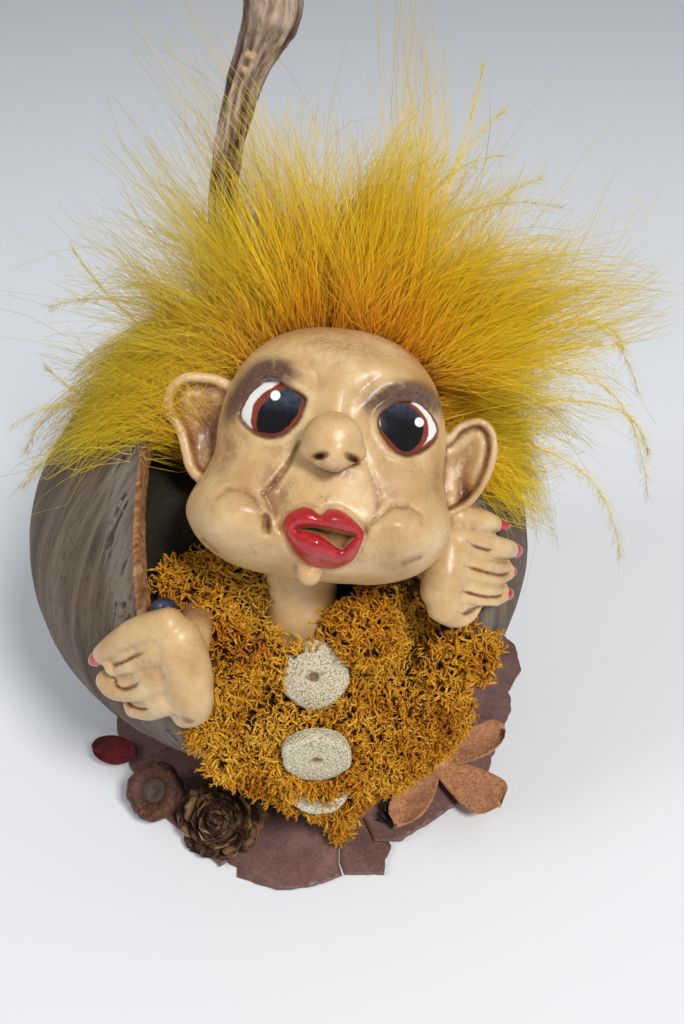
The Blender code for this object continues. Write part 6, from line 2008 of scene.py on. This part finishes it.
def make_husk():
    """A burst beech husk: four velvety valves round a pale knob."""
    valves = (
        ((55.4, -21.8, 8.8), 10.0, 0.24, 0.66, 0.10),
        ((51.4, -41.4, 4.2), 13.6, 0.10, 0.80, 0.04),
        ((24.0, -46.8, 4.6), 10.0, 0.24, 0.6, 0.02),
        ((29.0, -16.5, 8.5), 9.0, 0.2, 0.6, 0.1),
    )
    bm = bmesh.new()
    for tip, width, cup, widest, curl in valves:
        run = np.array(tip) - HUSK_HUB
        level = unit(np.array((run[0], run[1], 0.0)))
        out = np.array((0, 0, 1.0)) - 0.15 * level
        foot, length = HUSK_HUB + unit(run) * 0.8, np.linalg.norm(run)
        blade(bm, foot, run, out, length, width, 1.3, cup, widest, curl, 15, 13)
    ball(bm, HUSK_HUB + (0, 0, 0.2), (3.6, 3.4, 3.0), 4)

    def edge(points):
        # Pale on the knob, and paler where the valves rise highest as painted highlight
        knob = peak(np.linalg.norm(points - HUSK_HUB - (0, 0, 1.6), axis=1), 3.2)
        return np.clip(knob + 0.35 * ease(points[:, 2], 7.6, 9.6), 0, 1)

    velvet = seed_finish("husk_velvet", (134, 86, 56), (184, 128, 88), (212, 160, 118), (216, 170, 144),
                         (1, 1, 0.4), 0.6)
    shader = velvet.node_tree.nodes["Principled BSDF"].inputs
    shader["Sheen Weight"].default_value = 0.3
    shader["Sheen Tint"].default_value = HUSK_SHEEN
    closed_piece("husk_valves", bm, velvet, ("beech_husk",), 83, 0.14, edge)

    comb = bmesh.new()
    rng = np.random.default_rng(81)
    start, end = np.array((30.8, -29.2, 4.2)), np.array((22.6, -45.4, 3.6))
    for share in np.linspace(0, 1, 44):
        foot = start + (end - start) * share + rng.normal(0, 0.25, 3)
        lean = unit(np.array((-1.0, 0.45, 0.45)) + rng.normal(0, 0.22, 3))
        length = 3.9 + 1.2 * math.sin(share * 3.1)
        blade(comb, foot, lean, (0.2, -0.2, 1.0), length, 1.0, 0.5, 0.1, 0.35, 0.1, 5, 5)
    dark = seed_finish("husk_comb", (16, 10, 8), (34, 22, 16), (60, 40, 28), (34, 22, 16))
    closed_piece("husk_prickles", comb, dark, (), 85, 0.05)


def make_petal():
    """The small red leaf, dished and curled up at its tip."""
    bm = bmesh.new()
    foot = np.array((-48.5, -19.0, 3.2))
    blade(bm, foot, (-1.0, -0.1, 0.02), (0, -0.1, 1.0), 12.0, 9.5, 0.6, 0.3, 0.5, 0.16, 15, 13)
    finish = seed_finish("petal", (70, 20, 22), (118, 36, 38), (150, 62, 56), (140, 80, 66))
    closed_piece("petal_blade", bm, finish, ("small_red_leaf",), 87, 0.12)


def dress_inner_nodes():
    """Finishes for the CAD nodes that stay in view: the filling, near black as painted shade, the glue and
    the wires.
    """
    # The foam filling is coloured near black: painted shade in the gaps round the neck
    foam = seed_finish("foam", (20, 19, 10), (34, 30, 16), (52, 44, 24), (34, 30, 16), rough=0.85)
    glue = Finish("glue", transmission_weight=0.25, coat_weight=0.3)
    glue.dress(glue.ramp(glue.cloud(3 * MM), (0.3, (120, 100, 66)), (0.7, (160, 138, 98))), 0.35,
               glue.relief(glue.cloud(2 * MM), 0.3 * MM))
    wire = Finish("wire", metallic=1.0)
    wire.dress(wire.ramp(wire.cloud(1 * MM), (0.3, (120, 116, 110)), (0.7, (168, 164, 156))), 0.4)
    wood = seed_finish("skewer", (150, 118, 80), (186, 154, 112), (214, 186, 146), (186, 154, 112),
                       (4, 4, 0.3))
    finishes = {"foam_core": foam, "glue_pad": glue.material, "left_wrist_wire": wire.material,
                "right_wrist_wire": wire.material, "neck_dowel": wood}
    for name, finish in finishes.items():
        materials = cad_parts[name].data.materials
        materials.clear()
        materials.append(finish)


# Stage, lamps and camera


FLOOR_REACH = 4.0
FLOOR_GAP = 0.05 * MM
# What the lamps point at, and each lamp's place, size, power and colour
LAMP_TARGET = (0, 0, 0.08)
LAMPS = {
    "key": ((0.50, -0.70, 1.10), 0.32, 15.5, (1.0, 0.985, 0.955)),
    "fill": ((-1.0, -0.35, 0.8), 0.5, 5.0, (0.94, 0.97, 1.0)),
}
BACKDROP_COLOUR = (0.93, 0.96, 1.0, 1.0)
BACKDROP_STRENGTH = 0.34


def make_stage():
    bm = bmesh.new()
    bmesh.ops.create_grid(bm, x_segments=1, y_segments=1, size=FLOOR_REACH)
    mesh = mesh_of("floor", bm)
    floor = bpy.data.objects.new("floor", mesh)
    floor.location.z = -FLOOR_GAP
    bpy.context.scene.collection.objects.link(floor)
    f = Finish("floor_paint")
    mesh.materials.append(f.dress((226, 228, 232), 0.6))


def add_lamp(name, place, size, power, colour):
    lamp = bpy.data.lights.new(name, "AREA")
    lamp.shape = "DISK"
    lamp.size = size
    lamp.energy = power
    lamp.color = colour
    obj = bpy.data.objects.new(name, lamp)
    obj.location = place
    obj.rotation_euler = (Vector(LAMP_TARGET) - Vector(place)).to_track_quat("-Z", "Y").to_euler()
    obj.visible_glossy = name == "key"
    bpy.context.scene.collection.objects.link(obj)


def light_scene():
    world = bpy.data.worlds.new("studio")
    bpy.context.scene.world = world
    world.use_nodes = True
    backdrop = world.node_tree.nodes["Background"]
    backdrop.inputs["Color"].default_value = BACKDROP_COLOUR
    backdrop.inputs["Strength"].default_value = BACKDROP_STRENGTH
    for name, settings in LAMPS.items():
        add_lamp(name, *settings)


CAMERA_PITCH = math.radians(39.5)
CAMERA_ROLL = math.radians(1.8)
CAMERA_PLACE = (0.0122, -0.197, 0.236)
CAMERA_LENS = 35.16


def add_camera():
    look = Vector((0, math.cos(CAMERA_PITCH), -math.sin(CAMERA_PITCH)))
    right = Vector((1, 0, 0))
    up = right.cross(look)
    right_rolled = math.cos(CAMERA_ROLL) * right - math.sin(CAMERA_ROLL) * up
    up_rolled = math.sin(CAMERA_ROLL) * right + math.cos(CAMERA_ROLL) * up
    lens = bpy.data.cameras.new("camera")
    lens.lens = CAMERA_LENS
    lens.sensor_width = 36.0
    lens.clip_start = 0.01
    camera = bpy.data.objects.new("camera", lens)
    turn = Matrix((right_rolled, up_rolled, -look)).transposed().to_4x4()
    camera.matrix_world = Matrix.Translation(CAMERA_PLACE) @ turn
    bpy.context.scene.collection.objects.link(camera)
    bpy.context.scene.camera = camera


bpy.context.scene.view_settings.view_transform = "Standard"
make_stage()
light_scene()
add_camera()
dough = make_head()
for word, eye in EYES.items():
    make_eye(word, eye)
make_neck(dough)
nail_paint = nail_finish()
make_hand("left", HANDS["left"], 0.0, dough, nail_paint)
make_hand("right", HANDS["right"], 1.5, dough, nail_paint)
make_hair()
make_moss()
make_pod()
make_branch()
make_buttons()
make_berry()
make_leaves()
make_cone()
make_cup()
make_husk()
make_petal()
dress_inner_nodes()
